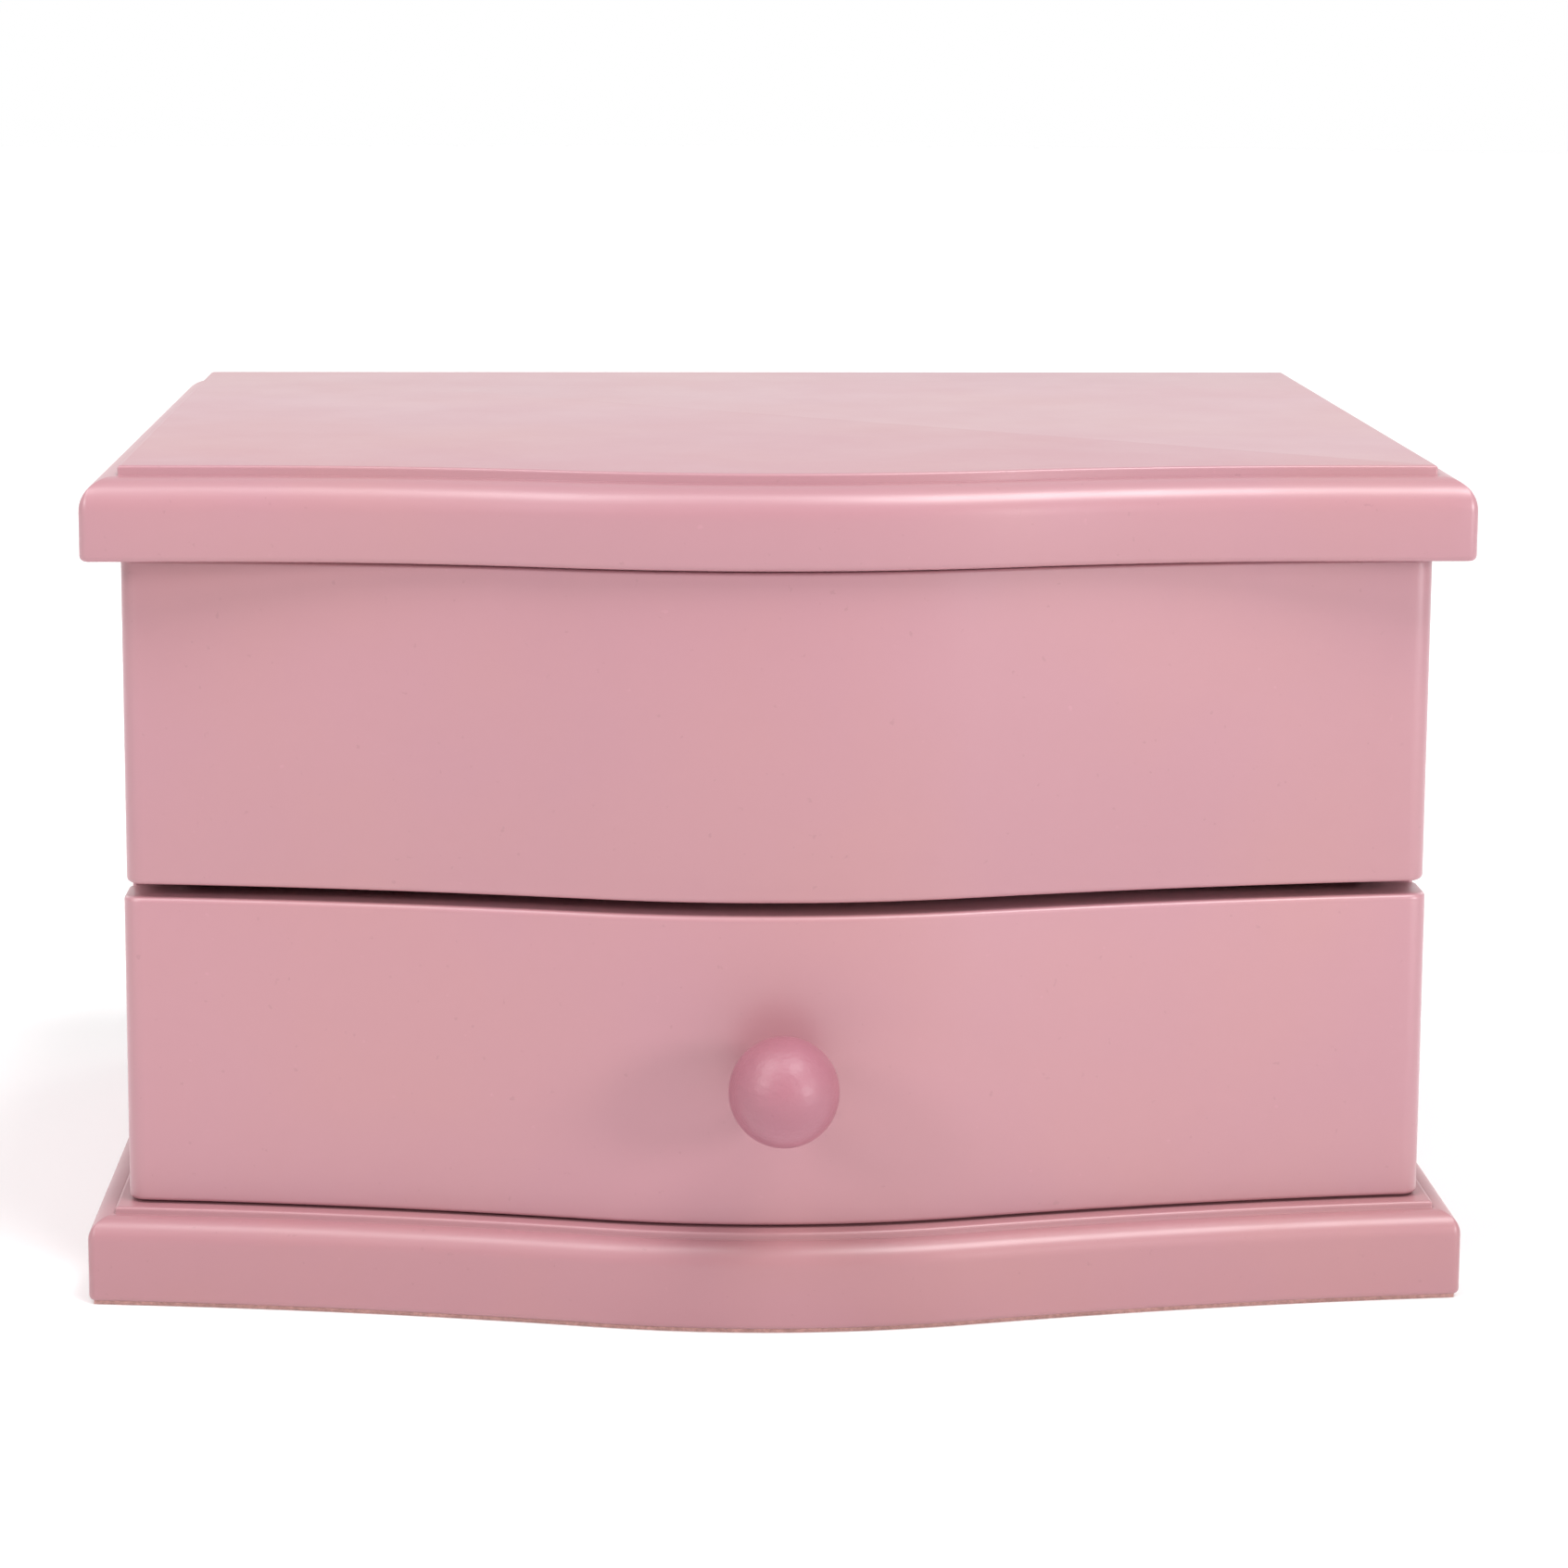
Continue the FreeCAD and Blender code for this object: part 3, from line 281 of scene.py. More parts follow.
PINK = (0.374, 0.175, 0.204)
# The base is the same pink lacquer as the case; its colour here is darkened as painted shade for the lower
# faces, which get less light.
BASE_PINK_PAINTED_SHADE = (0.324, 0.147, 0.167)
KNOB_PINK = (0.308, 0.114, 0.154)
materials = {
    "pink_lacquer": lacquer("pink_lacquer", PINK),
    "raw_board": raw_wood("raw_board", (0.60, 0.43, 0.27)),
    "felt": felt("felt", (0.36, 0.20, 0.18)),
    "pink_velvet": velvet("pink_velvet", (0.50, 0.13, 0.19)),
    "mirror_glass": silvered_glass("mirror_glass"),
    "brass": metal("brass", (0.80, 0.58, 0.24), 0.24),
    "steel": metal("steel", (0.58, 0.58, 0.60), 0.28, (1.0, 8.0, 1.0)),
    "spring_steel": metal("spring_steel", (0.30, 0.31, 0.35), 0.26),
    "doll_plastic": smooth_plastic("doll_plastic", (0.80, 0.52, 0.42)),
    "tulle": net("tulle", (0.86, 0.60, 0.66)),
    "zinc": metal("zinc", (0.50, 0.50, 0.49), 0.45, depth=0.00008),
}
# A darker copy of the pink lacquer for the base: painted shade, not a different paint.
base_lacquer_painted_shade = lacquer("base_lacquer_painted_shade", BASE_PINK_PAINTED_SHADE, seed=9.0, coat=0.3)
knob_lacquer = lacquer("knob_lacquer", KNOB_PINK, seed=17.0, coat=0.06, rough=0.45,
                       peel=0.00022, peel_scale=1100)
bodice_satin = satin_cloth("bodice_satin", (0.66, 0.27, 0.36))
shoe_satin = satin_cloth("shoe_satin", (0.70, 0.34, 0.42))
side_board = raw_wood("side_board", (0.60, 0.43, 0.27), 1)
hair = smooth_plastic("hair", (0.105, 0.045, 0.022), 0.42, 2400)
eye_paint = smooth_plastic("eye_paint", (0.05, 0.025, 0.02), 0.5)
lip_paint = smooth_plastic("lip_paint", (0.52, 0.10, 0.12), 0.4)
slot_of = {part["node"]: part["material_slot"] for part in frame["record"]["subparts"]}


def dress(obj, material):
    obj.data.materials.clear()
    obj.data.materials.append(material)


# ---- mesh helpers -------------------------------------------------------------------------------
def circle(x, y, z, radius, count=32):
    """A level circle of points."""
    turns = [2 * math.pi * i / count for i in range(count)]
    return [Vector((x + radius * math.cos(a), y + radius * math.sin(a), z)) for a in turns]


def upright_circle(x, y, z, radius, count=32):
    """A circle of points that faces along Y."""
    turns = [2 * math.pi * i / count for i in range(count)]
    return [Vector((x + radius * math.cos(a), y, z + radius * math.sin(a))) for a in turns]


def piece(name, bm, body, slot, angle=35.0, recalculate=True):
    """Turns a bmesh into a smooth-shaded piece that rides on a body."""
    if recalculate:
        bmesh.ops.recalc_face_normals(bm, faces=bm.faces)
    mesh = bpy.data.meshes.new(name)
    bm.to_mesh(mesh)
    bm.free()
    mesh.shade_smooth()
    mesh.set_sharp_from_angle(angle=math.radians(angle))
    obj = bpy.data.objects.new(name, mesh)
    bpy.context.scene.collection.objects.link(obj)
    dress(obj, materials[slot])
    if body:
        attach(obj, body)
    return obj


def add_loop(bm, points):
    return [bm.verts.new(p) for p in points]


def bridge(bm, a, b):
    count = len(a)
    for i in range(count):
        j = (i + 1) % count
        bm.faces.new((a[i], a[j], b[j], b[i]))


def loft(bm, loops, cap_start=True, cap_end=True):
    """Skins closed loops of points in order; returns the loops of vertices."""
    made = [add_loop(bm, points) for points in loops]
    for a, b in zip(made, made[1:]):
        bridge(bm, a, b)
    if cap_start:
        bm.faces.new(list(reversed(made[0])))
    if cap_end:
        bm.faces.new(made[-1])
    return made


def edges_of(loop):
    found = []
    for a, b in zip(loop, loop[1:] + loop[:1]):
        for edge in a.link_edges:
            if edge.other_vert(a) is b:
                found.append(edge)
    return found


def quarter(radius, steps):
    """(across, up) points of a convex quarter round, from upright to level."""
    angles = [math.pi / 2 * k / steps for k in range(steps + 1)]
    return [(radius * (1 - math.cos(a)), radius * math.sin(a)) for a in angles]


# ---- bowed boards -------------------------------------------------------------------------------
FRONT_STEPS = 96
CORNER_STEPS = 6
LEAST_FRONT_CORNER = 0.0003
BACK_CORNER = 0.0006
LEAST_BACK_CORNER = 0.0002


def bow_y(bow, tip_y, inset, x):
    """The front edge's y at x, moved in by inset."""
    convex, hollow = bow[0] - inset, bow[2] + inset
    sine, cosine = math.sin(math.radians(bow[1])), math.cos(math.radians(bow[1]))
    x = abs(x)
    turn_x = convex * sine
    tip = tip_y + inset
    if x <= turn_x:
        return tip + convex - math.sqrt(convex ** 2 - x ** 2)
    turn_y = tip + convex * (1 - cosine)
    slope = max(0.0, sine - (x - turn_x) / hollow)
    return turn_y + hollow * (math.sqrt(1 - slope * slope) - cosine)


def bowed_loop(bow, tip_y, half_x, back_y, z, inset, back_in, front_r):
    """A closed loop round a bowed board, anticlockwise from above, starting at the front left."""
    edge = half_x - inset
    corner = max(front_r - inset, LEAST_FRONT_CORNER)
    reach = edge - corner
    points = []
    for k in range(FRONT_STEPS + 1):
        x = -reach + 2 * reach * k / FRONT_STEPS
        points.append(Vector((x, bow_y(bow, tip_y, inset, x), z)))
    centre_y = points[-1].y + corner
    right = []
    for k in range(1, CORNER_STEPS + 1):
        a = -math.pi / 2 + math.pi / 2 * k / CORNER_STEPS
        right.append(Vector((reach + corner * math.cos(a), centre_y + corner * math.sin(a), z)))
    back = back_y - back_in
    small = max(BACK_CORNER - back_in, LEAST_BACK_CORNER)
    for k in range(1, 4):
        right.append(Vector((edge, centre_y + (back - small - centre_y) * k / 4, z)))
    for k in range(4):
        a = math.pi / 2 * k / 3
        right.append(Vector((edge - small + small * math.cos(a),
                             back - small + small * math.sin(a), z)))
    left = [Vector((-p.x, p.y, z)) for p in reversed(right)]
    return points + right + left


def rectangle_loop(half_x, front, back, z):
    return [Vector((-half_x, front, z)), Vector((half_x, front, z)), Vector((half_x, back, z)),
            Vector((-half_x, back, z))]


def bowed_board(name, node, bow, tip_y, profile, front_r, pockets=()):
    """Skins a bowed board through profile rows of (inset, back inset, z), bottom to top."""
    low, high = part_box(node)
    bm = bmesh.new()
    loops = [bowed_loop(bow, tip_y, high.x, high.y, z, inset, back_in, front_r)
             for inset, back_in, z in profile]
    made = loft(bm, loops, cap_start=not pockets)
    if pockets:
        rims = [add_loop(bm, rectangle_loop(*p)) for p in pockets]
        for loop in rims:
            for a, b in zip(loop, loop[1:] + loop[:1]):
                if bm.edges.get((a, b)) is None:
                    bm.edges.new((a, b))
        rim_edges = edges_of(made[0]) + edges_of(rims[0])
        bmesh.ops.triangle_fill(bm, use_beauty=True, edges=rim_edges)
        for a, b in zip(rims, rims[1:]):
            bridge(bm, a, b)
        bm.faces.new(rims[-1])
    obj = piece(name, bm, body_of(node), "pink_lacquer")
    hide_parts(node)
    return obj


def body_of(node):
    for body, members in frame["record"]["behaviour"]["bodies"].items():
        if node in members:
            return body
    raise KeyError(node)


def edge_rows(low, radius, steps=4):
    """Rows that round the bottom edge, going up from the underside."""
    rows = []
    for k in range(steps + 1):
        a = math.pi / 2 * k / steps
        across = radius * (1 - math.sin(a))
        rows.append((across, across, low + radius * (1 - math.cos(a))))
    return rows


def moulded_rows(low, high, bottom_r, round_r, lip):
    """Rows of a moulded edge: rounded foot, upright face, quarter round, ledge, lip, top."""
    rows = edge_rows(low, bottom_r)
    shoulder = high - lip
    start = shoulder - round_r
    for across, up in quarter(round_r, 12):
        rows.append((across, 0.0, start + up))
    step = round_r + LEDGE
    rows.append((step - LEDGE_FILLET, 0.0, shoulder - LEDGE_FILLET))
    rows.append((step, 0.0, shoulder + LEDGE_FILLET))
    top_r = min(LIP_ROUND, lip / 2)
    for across, up in quarter(top_r, 4):
        rows.append((step + across, min(across, BACK_EASE), high - top_r + up))
    return rows


def plain_rows(low, high, bottom_r, top_r):
    """Rows of a plain board: rounded foot, upright face, rounded top edge."""
    rows = edge_rows(low, bottom_r)
    for across, up in quarter(top_r, 5):
        rows.append((across, min(across, PLAIN_BACK_EASE), high - top_r + up))
    return rows


plinth_low, plinth_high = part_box("base_plinth")
BASE_TIP = plinth_low.y
panel_low, panel_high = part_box("front_panel")
BODY_TIP = panel_low.y
lid_low, lid_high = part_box("lid_board")
LID_TIP = lid_low.y

base = bowed_board("base_moulding", "base_plinth", CASE_BOW, BASE_TIP,
                   moulded_rows(plinth_low.z, plinth_high.z, BASE_FOOT_ROUND, BASE_ROUND, BASE_LIP),
                   BASE_CORNER)
bowed_board("upper_front", "front_panel", CASE_BOW, BODY_TIP,
            plain_rows(panel_low.z, panel_high.z, PANEL_FOOT_ROUND, PANEL_TOP_ROUND), PANEL_CORNER)
drawer_low, drawer_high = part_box("drawer_front")
bowed_board("drawer_face", "drawer_front", CASE_BOW, BODY_TIP,
            plain_rows(drawer_low.z, drawer_high.z, DRAWER_FOOT_ROUND, DRAWER_TOP_ROUND),
            PANEL_CORNER)
lining_low, lining_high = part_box("lid_lining")
mirror_low, mirror_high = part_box("mirror")
lid_pockets = [
    (lining_high.x, lining_low.y, lining_high.y, lid_low.z),
    (lining_high.x, lining_low.y, lining_high.y, lining_high.z),
    (mirror_high.x, mirror_low.y, mirror_high.y, lining_high.z),
    (mirror_high.x, mirror_low.y, mirror_high.y, mirror_high.z),
]
bowed_board("lid_panel", "lid_board", LID_BOW, LID_TIP,
            moulded_rows(lid_low.z, lid_high.z, LID_FOOT_ROUND, LID_ROUND, LID_LIP),
            LID_CORNER, lid_pockets)


def turned_knob():
    """A lathe-turned ball that flows into a short flared neck."""
    low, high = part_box("knob")
    middle_y = low.y + KNOB_RADIUS
    full_r = KNOB_RADIUS + KNOB_PAINT
    z = (low.z + high.z) / 2
    face = high.y
    profile = []
    for k in range(33):
        a = math.radians(0.6 + 148 * k / 32)
        profile.append((full_r * math.sin(a), -full_r * math.cos(a)))
    neck_r, neck_y = profile[-1]
    reach = face - middle_y
    for k in range(1, 9):
        t = k / 8
        blend = t * t * (3 - 2 * t)
        radius = neck_r * (1 - blend) + NECK_FOOT_RADIUS * blend - NECK_DIP * math.sin(math.pi * t)
        profile.append((radius, neck_y + (reach - neck_y) * t))
    bm = bmesh.new()
    loft(bm, [upright_circle(0.0, middle_y + y, z, radius, 64) for radius, y in profile])
    obj = piece("turned_knob", bm, "drawer", "pink_lacquer", 50)
    dress(obj, knob_lacquer)
    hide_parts("knob")


turned_knob()
# The base wears the darker copy of the case lacquer, as painted shade on the lower faces.
dress(base, base_lacquer_painted_shade)


# ---- hinge screws ----------------------------------------------------------------------------------
HEAD_RADIUS = 0.0016
HEAD_DOME = 0.00042
HALF_SLOT = 0.00022
HEAD_ROWS = ((1.0, 0.0), (1.0, 0.30), (0.86, 0.72), (0.6, 0.93), (0.3, 1.0))   # width, rise
SLOT_FLOOR_RADIUS = 0.00162
SLOT_FLOOR_LOW = 0.0009
SLOT_FLOOR_HIGH = 0.00003
HEAD_SUNK = 0.00005
FIRST_TILT, TILT_STEP = 0.5, 1.3


def half_head(bm, x, face, z, side, tilt):
    """One half of a domed screw head beside its slot; face is the plane it stands on, facing +Y."""
    steps = 12
    start = math.asin(HALF_SLOT / HEAD_RADIUS)
    cosine, sine = math.cos(tilt), math.sin(tilt)
    loops = []
    for scale, rise in HEAD_ROWS:
        outline = []
        y = face + HEAD_DOME * rise
        for k in range(steps + 1):
            a = start + (math.pi - 2 * start) * k / steps
            px = HEAD_RADIUS * scale * math.cos(a)
            pz = max(HEAD_RADIUS * scale * math.sin(a), HALF_SLOT)
            if side < 0:
                px, pz = -px, -pz
            outline.append(Vector((x + px * cosine - pz * sine, y, z + px * sine + pz * cosine)))
        loops.append(outline)
    loft(bm, loops)


def slotted_screws(name, node, body):
    """Two screws in each leaf, their slots at odd angles, over a floor that closes the slot."""
    low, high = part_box(node)
    z = (low.z + high.z) / 2
    places = [hinge + screw for hinge in (-HINGE_X, HINGE_X) for screw in (-SCREW_X, SCREW_X)]
    bm = bmesh.new()
    for k, x in enumerate(places):
        for side in (-1, 1):
            half_head(bm, x, high.y - HEAD_SUNK, z, side, FIRST_TILT + TILT_STEP * k)
        loft(bm, [upright_circle(x, y, z, SLOT_FLOOR_RADIUS, 24)
                  for y in (high.y - SLOT_FLOOR_LOW, high.y + SLOT_FLOOR_HIGH)])
    obj = piece(name, bm, body, "brass", 40)
    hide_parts(node)


slotted_screws("case_screw_heads", "case_hinge_screws", "case")
slotted_screws("lid_screw_heads", "lid_hinge_screws", "lid")


# ---- cover over the movement -----------------------------------------------------------------------
def rounded_rectangle(half_x, front, back, z, radius, steps=5):
    points = []
    corners = ((half_x - radius, back - radius, 0), (-half_x + radius, back - radius, 1),
               (-half_x + radius, front + radius, 2), (half_x - radius, front + radius, 3))
    for x, y, turn in corners:
        for k in range(steps + 1):
            a = math.pi / 2 * (turn + k / steps)
            points.append(Vector((x + radius * math.cos(a), y + radius * math.sin(a), z)))
    return points


COVER_CORNER = 0.0018
COVER_EDGE = 0.0014
COVER_RIM = 0.0003              # flat rim past the soft edge
COVER_TOP_CORNER = 0.0006
COVER_INNER_CORNER = 0.0005
COVER_HOLE = 0.0016
COVER_HOLE_ROLL = 0.0003
COVER_HOLE_RIM = 0.0005
COVER_HOLE_DEPTH = 0.002


def hole_rings(bm, x, y, z):
    """The rolled edge of a hole through the velvet, from its rim down into the hole."""
    rows = ((COVER_HOLE + COVER_HOLE_RIM, 0.0), (COVER_HOLE + COVER_HOLE_ROLL, 0.0),
            (COVER_HOLE, COVER_HOLE_ROLL), (COVER_HOLE, COVER_HOLE_DEPTH))
    rings = [add_loop(bm, circle(x, y, z - down, radius)) for radius, down in rows]
    for a, b in zip(rings, rings[1:]):
        bridge(bm, b, a)
    return rings


def velvet_cover():
    """The velvet-covered cover: open at the back, with holes for the spindle and the plunger."""
    low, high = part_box("movement_cover")
    bm = bmesh.new()
    loops = [rounded_rectangle(high.x, low.y, high.y, low.z, COVER_CORNER)]
    for across, up in quarter(COVER_EDGE, 6):
        corner = max(COVER_CORNER - across, COVER_TOP_CORNER)
        loops.append(rounded_rectangle(high.x - across, low.y + across, high.y - across,
                                       high.z - COVER_EDGE + up, corner))
    flat = COVER_EDGE + COVER_RIM
    loops.append(rounded_rectangle(high.x - flat, low.y + flat, high.y - flat, high.z,
                                   COVER_INNER_CORNER))
    made = loft(bm, loops, cap_start=False, cap_end=False)
    back = [face for face in bm.faces if all(abs(v.co.y - high.y) < 0.00001 for v in face.verts)]
    bmesh.ops.delete(bm, geom=back, context="FACES")
    edges = edges_of(made[-1])
    pin_low, pin_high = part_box("stop_plunger")
    pin_x, pin_y = (pin_low.x + pin_high.x) / 2, (pin_low.y + pin_high.y) / 2
    for x, y in ((0.0, SPINDLE_Y), (pin_x, pin_y)):
        edges += edges_of(hole_rings(bm, x, y, high.z)[0])
    bmesh.ops.triangle_fill(bm, use_beauty=True, edges=edges)
    obj = piece("velvet_cover", bm, "case", "pink_velvet", 60)
    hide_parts("movement_cover")


velvet_cover()


# ---- padded rolls for rings -----------------------------------------------------------------------
ROLL_NAMES = ["ring_roll_" + str(k) for k in range(1, 6)]
ROLL_END_GAP = 0.0004           # left at each end for the cover to swell into
ROLL_SIDE_GAP = 0.0006
ROLL_TOP_GAP = 0.0008
ROLL_RIPPLE = 0.00012
ROLL_VOXEL = 0.0011
ROLL_MOST_SWELL = 0.0009
GLUED_HEIGHT = 0.0012
CLOTH_FRAMES = 20


def roll_blank(name, seed):
    """A roll before it is filled out: a half-round bolster with gathered ends."""
    low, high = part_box(name)
    middle_y = (low.y + high.y) / 2
    half_y = (high.y - low.y) / 2 - ROLL_SIDE_GAP
    tall = high.z - low.z - ROLL_TOP_GAP
    bm = bmesh.new()
    loops = []
    steps = 26
    for k in range(steps + 1):
        t = k / steps
        x = low.x + ROLL_END_GAP + (high.x - low.x - 2 * ROLL_END_GAP) * t
        ends = min(t, 1 - t)
        full = min(1.0, (ends / 0.09 + 0.05)) ** 0.45
        loop = []
        for i in range(28):
            a = 2 * math.pi * i / 28
            across, up = math.cos(a), math.sin(a)
            y = middle_y + half_y * full * across
            lift = 0.44 + 0.52 * full * up if up > 0 else 0.44 + 0.43 * full * up
            ripple = ROLL_RIPPLE * noise.noise(Vector((x * 300, across * 2, up * 2 + seed * 7)))
            loop.append(Vector((x, y + ripple, low.z + tall * lift + ripple)))
        loops.append(loop)
    loft(bm, loops)
    obj = piece(name + "_pad", bm, None, "pink_velvet", 60)
    fine = obj.modifiers.new("remesh", "REMESH")
    fine.mode = "VOXEL"
    fine.voxel_size = ROLL_VOXEL
    fine.use_smooth_shade = True
    return obj


def apply_modifiers(obj):
    graph = bpy.context.evaluated_depsgraph_get()
    mesh = bpy.data.meshes.new_from_object(obj.evaluated_get(graph), depsgraph=graph)
    obj.modifiers.clear()
    old = obj.data
    obj.data = mesh
    bpy.data.meshes.remove(old)


def glued_group(obj, low_z):
    """A vertex group for the flat underside, where the roll is glued to its card."""
    group = obj.vertex_groups.new(name="glued")
    for v in obj.data.vertices:
        if v.co.z < low_z + GLUED_HEIGHT:
            group.add([v.index], 1.0, "ADD")
    return group.name


def fill_rolls():
    """Fills the rolls with air in a short cloth simulation, so that their covers tighten and crease."""
    rolls = [roll_blank(name, k) for k, name in enumerate(ROLL_NAMES)]
    for obj in rolls:
        apply_modifiers(obj)
    scene = bpy.context.scene
    starts = []
    for name, obj in zip(ROLL_NAMES, rolls):
        cloth = obj.modifiers.new("cloth", "CLOTH")
        settings = cloth.settings
        settings.quality = 6
        settings.mass = 0.2
        settings.tension_stiffness = 12
        settings.compression_stiffness = 6
        settings.bending_stiffness = 0.05
        settings.use_pressure = True
        settings.uniform_pressure_force = 4.0
        settings.shrink_min = -0.02
        settings.effector_weights.gravity = 0.0
        settings.vertex_group_mass = glued_group(obj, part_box(name)[0].z)
        cloth.collision_settings.use_collision = False
        cloth.point_cache.frame_start = 1
        cloth.point_cache.frame_end = CLOTH_FRAMES
        starts.append([v.co.copy() for v in obj.data.vertices])
    scene.frame_start, scene.frame_end = 1, CLOTH_FRAMES
    for step in range(1, CLOTH_FRAMES + 1):
        scene.frame_set(step)
    for obj, before in zip(rolls, starts):
        apply_modifiers(obj)
        for v, start in zip(obj.data.vertices, before):
            move = v.co - start
            if move.length > ROLL_MOST_SWELL:
                v.co = start + move.normalized() * ROLL_MOST_SWELL
    scene.frame_set(1)
    for name, obj in zip(ROLL_NAMES, rolls):
        low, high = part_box(name)
        for v in obj.data.vertices:
            v.co.z = max(v.co.z, low.z + 0.00002)
            v.co.y = min(max(v.co.y, low.y + 0.0001), high.y - 0.0001)
            v.co.x = min(max(v.co.x, low.x), high.x)
        finer = obj.modifiers.new("finer", "SUBSURF")
        finer.levels = finer.render_levels = 1
        apply_modifiers(obj)
        obj.data.shade_smooth()
        dress(obj, materials["pink_velvet"])
        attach(obj, "case")
        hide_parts(name)


fill_rolls()


# ---- ballerina, built upright and laid forward under the closed lid --------------------------------
FIGURE_PLACE = Vector((0.0, 0.0474, 0.1049))
HEAD = 0.0378                   # middle of the head above the soles

# Limb stations: x, y, height, radius, flatness. Lathe rows: height, half width, half depth,
# forward. All in millimetres from the soles, for the figure's +X side.
LEG = (
    (0.90, 0.0, 3.6, 0.50, 1.0), (1.00, 0.2, 5.2, 0.62, 1.0), (1.05, 0.4, 8.8, 1.08, 1.0),
    (1.00, 0.1, 12.4, 0.86, 1.0), (1.10, -0.1, 15.0, 1.12, 1.0), (1.20, 0.0, 19.6, 1.50, 1.0),
)
ARM = (
    (1.6, 0.0, 31.8, 0.88, 1.0), (2.6, -0.2, 33.0, 0.82, 1.0), (4.1, -0.7, 35.8, 0.66, 1.0),
    (5.1, -1.1, 38.8, 0.58, 1.0), (4.5, -1.4, 42.4, 0.52, 1.0), (2.9, -1.5, 45.3, 0.38, 1.0),
    (2.0, -1.4, 46.0, 0.46, 0.62), (1.1, -1.3, 46.4, 0.36, 0.55), (0.4, -1.3, 46.3, 0.20, 0.6),
)
NOSE = ((0.0, -2.25, 37.70, 0.18, 1.0), (0.0, -2.62, 37.15, 0.30, 0.9), (0.0, -2.10, 36.90, 0.28, 1.0))
SHOE = (
    (0.72, -0.10, 1.55, 0.34, 1.0), (0.78, -0.08, 1.85, 0.50, 1.0), (0.85, 0.0, 2.90, 0.66, 1.15),
    (0.90, 0.10, 3.80, 0.62, 1.2), (0.90, 0.10, 4.20, 0.54, 1.1),
)
TORSO = (
    (18.6, 2.0, 1.5, 0.0), (20.4, 2.35, 1.85, 0.0), (22.6, 1.9, 1.5, 0.0), (24.6, 1.5, 1.15, 0.05),
    (27.0, 1.75, 1.3, 0.15), (29.0, 2.05, 1.45, 0.25), (31.0, 2.35, 1.25, 0.1), (32.4, 2.25, 0.95, 0.0),
    (33.2, 1.35, 0.85, 0.0), (33.9, 0.78, 0.78, 0.02), (35.3, 0.68, 0.70, 0.12), (36.4, 0.72, 0.75, 0.2),
)
BODICE = (
    (18.9, 2.2, 1.75, 0.0), (20.4, 2.55, 2.05, 0.0), (22.4, 2.12, 1.72, 0.0), (24.4, 1.68, 1.34, 0.05),
    (26.4, 1.85, 1.42, 0.12), (28.2, 2.14, 1.60, 0.26), (29.6, 2.30, 1.62, 0.28), (30.4, 2.34, 1.48, 0.22),
)
SASH = (
    (23.9, 1.80, 1.46, 0.05), (24.1, 1.88, 1.54, 0.05), (24.7, 1.87, 1.53, 0.06), (24.9, 1.79, 1.45, 0.06),
)
PEG = ((0.0, 1.45, 1.45, 0), (0.15, 1.6, 1.6, 0), (1.2, 1.6, 1.6, 0), (1.45, 1.4, 1.4, 0), (1.6, 1.1, 1.1, 0))


def laid_forward(point):
    """From upright about the soles to lying forward, face down."""
    return Vector((point[0], -point[2], point[1])) + FIGURE_PLACE


def ring(centre, half_x, half_y, count=24, lean=None):
    """An oval of points about a centre, level or square to the direction lean."""
    centre = Vector(centre)
    if lean is None:
        across, along = Vector((1, 0, 0)), Vector((0, 1, 0))
    else:
        lean = Vector(lean).normalized()
        across = lean.cross(Vector((0, 1, 0)))
        if across.length < 0.2:
            across = lean.cross(Vector((1, 0, 0)))
        across.normalize()
        along = lean.cross(across).normalized()
    return [centre + across * half_x * math.cos(2 * math.pi * i / count)
            + along * half_y * math.sin(2 * math.pi * i / count) for i in range(count)]


def limb(bm, stations, count=20):
    """A tapered limb through (x, y, z, radius, flatness) stations, round along a smooth curve."""
    points = [Vector(s[:3]) for s in stations]
    loops = []
    steps = 6
    for k in range(len(points) - 1):
        p0 = points[max(k - 1, 0)]
        p1, p2 = points[k], points[k + 1]
        p3 = points[min(k + 2, len(points) - 1)]
        for i in range(steps + (k == len(points) - 2)):
            t = i / steps
            at = 0.5 * ((2 * p1) + (p2 - p0) * t + (2 * p0 - 5 * p1 + 4 * p2 - p3) * t * t
                        + (3 * p1 - p0 - 3 * p2 + p3) * t ** 3)
            way = 0.5 * ((p2 - p0) + 2 * (2 * p0 - 5 * p1 + 4 * p2 - p3) * t
                         + 3 * (3 * p1 - p0 - 3 * p2 + p3) * t * t)
            soft = t * t * (3 - 2 * t)
            radius = stations[k][3] * (1 - soft) + stations[k + 1][3] * soft
            flat = stations[k][4] * (1 - soft) + stations[k + 1][4] * soft
            loops.append(ring(at, radius, radius * flat, count, way))
    loft(bm, loops)


def ball(bm, centre, half, count=24, rows=14):
    """A closed oval shape of rings, its poles up and down."""
    loops = []
    for k in range(1, rows):
        a = math.pi * k / rows
        loops.append(ring((centre[0], centre[1], centre[2] - half[2] * math.cos(a)),
                          half[0] * math.sin(a), half[1] * math.sin(a), count))
    loft(bm, loops)


def figure_piece(name, bm, material, slot, voxel=None, smooth=2):
    """Lays a figure piece forward, blends its shapes into one skin and puts it on the dancer."""
    for v in bm.verts:
        v.co = laid_forward(v.co)
    obj = piece(name, bm, None, slot, 60)
    if voxel:
        skin = obj.modifiers.new("remesh", "REMESH")
        skin.mode = "VOXEL"
        skin.voxel_size = voxel
        skin.use_smooth_shade = True
        even = obj.modifiers.new("even", "SMOOTH")
        even.iterations = smooth
        even.factor = 0.5
        apply_modifiers(obj)
        obj.data.shade_smooth()
    dress(obj, material)
    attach(obj, "dancer")
    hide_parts("ballerina_figure")
    return obj


def sided(stations, side=1):
    """Limb stations in metres, on the +X side or mirrored."""
    return [(side * x * MM, y * MM, z * MM, radius * MM, flat) for x, y, z, radius, flat in stations]


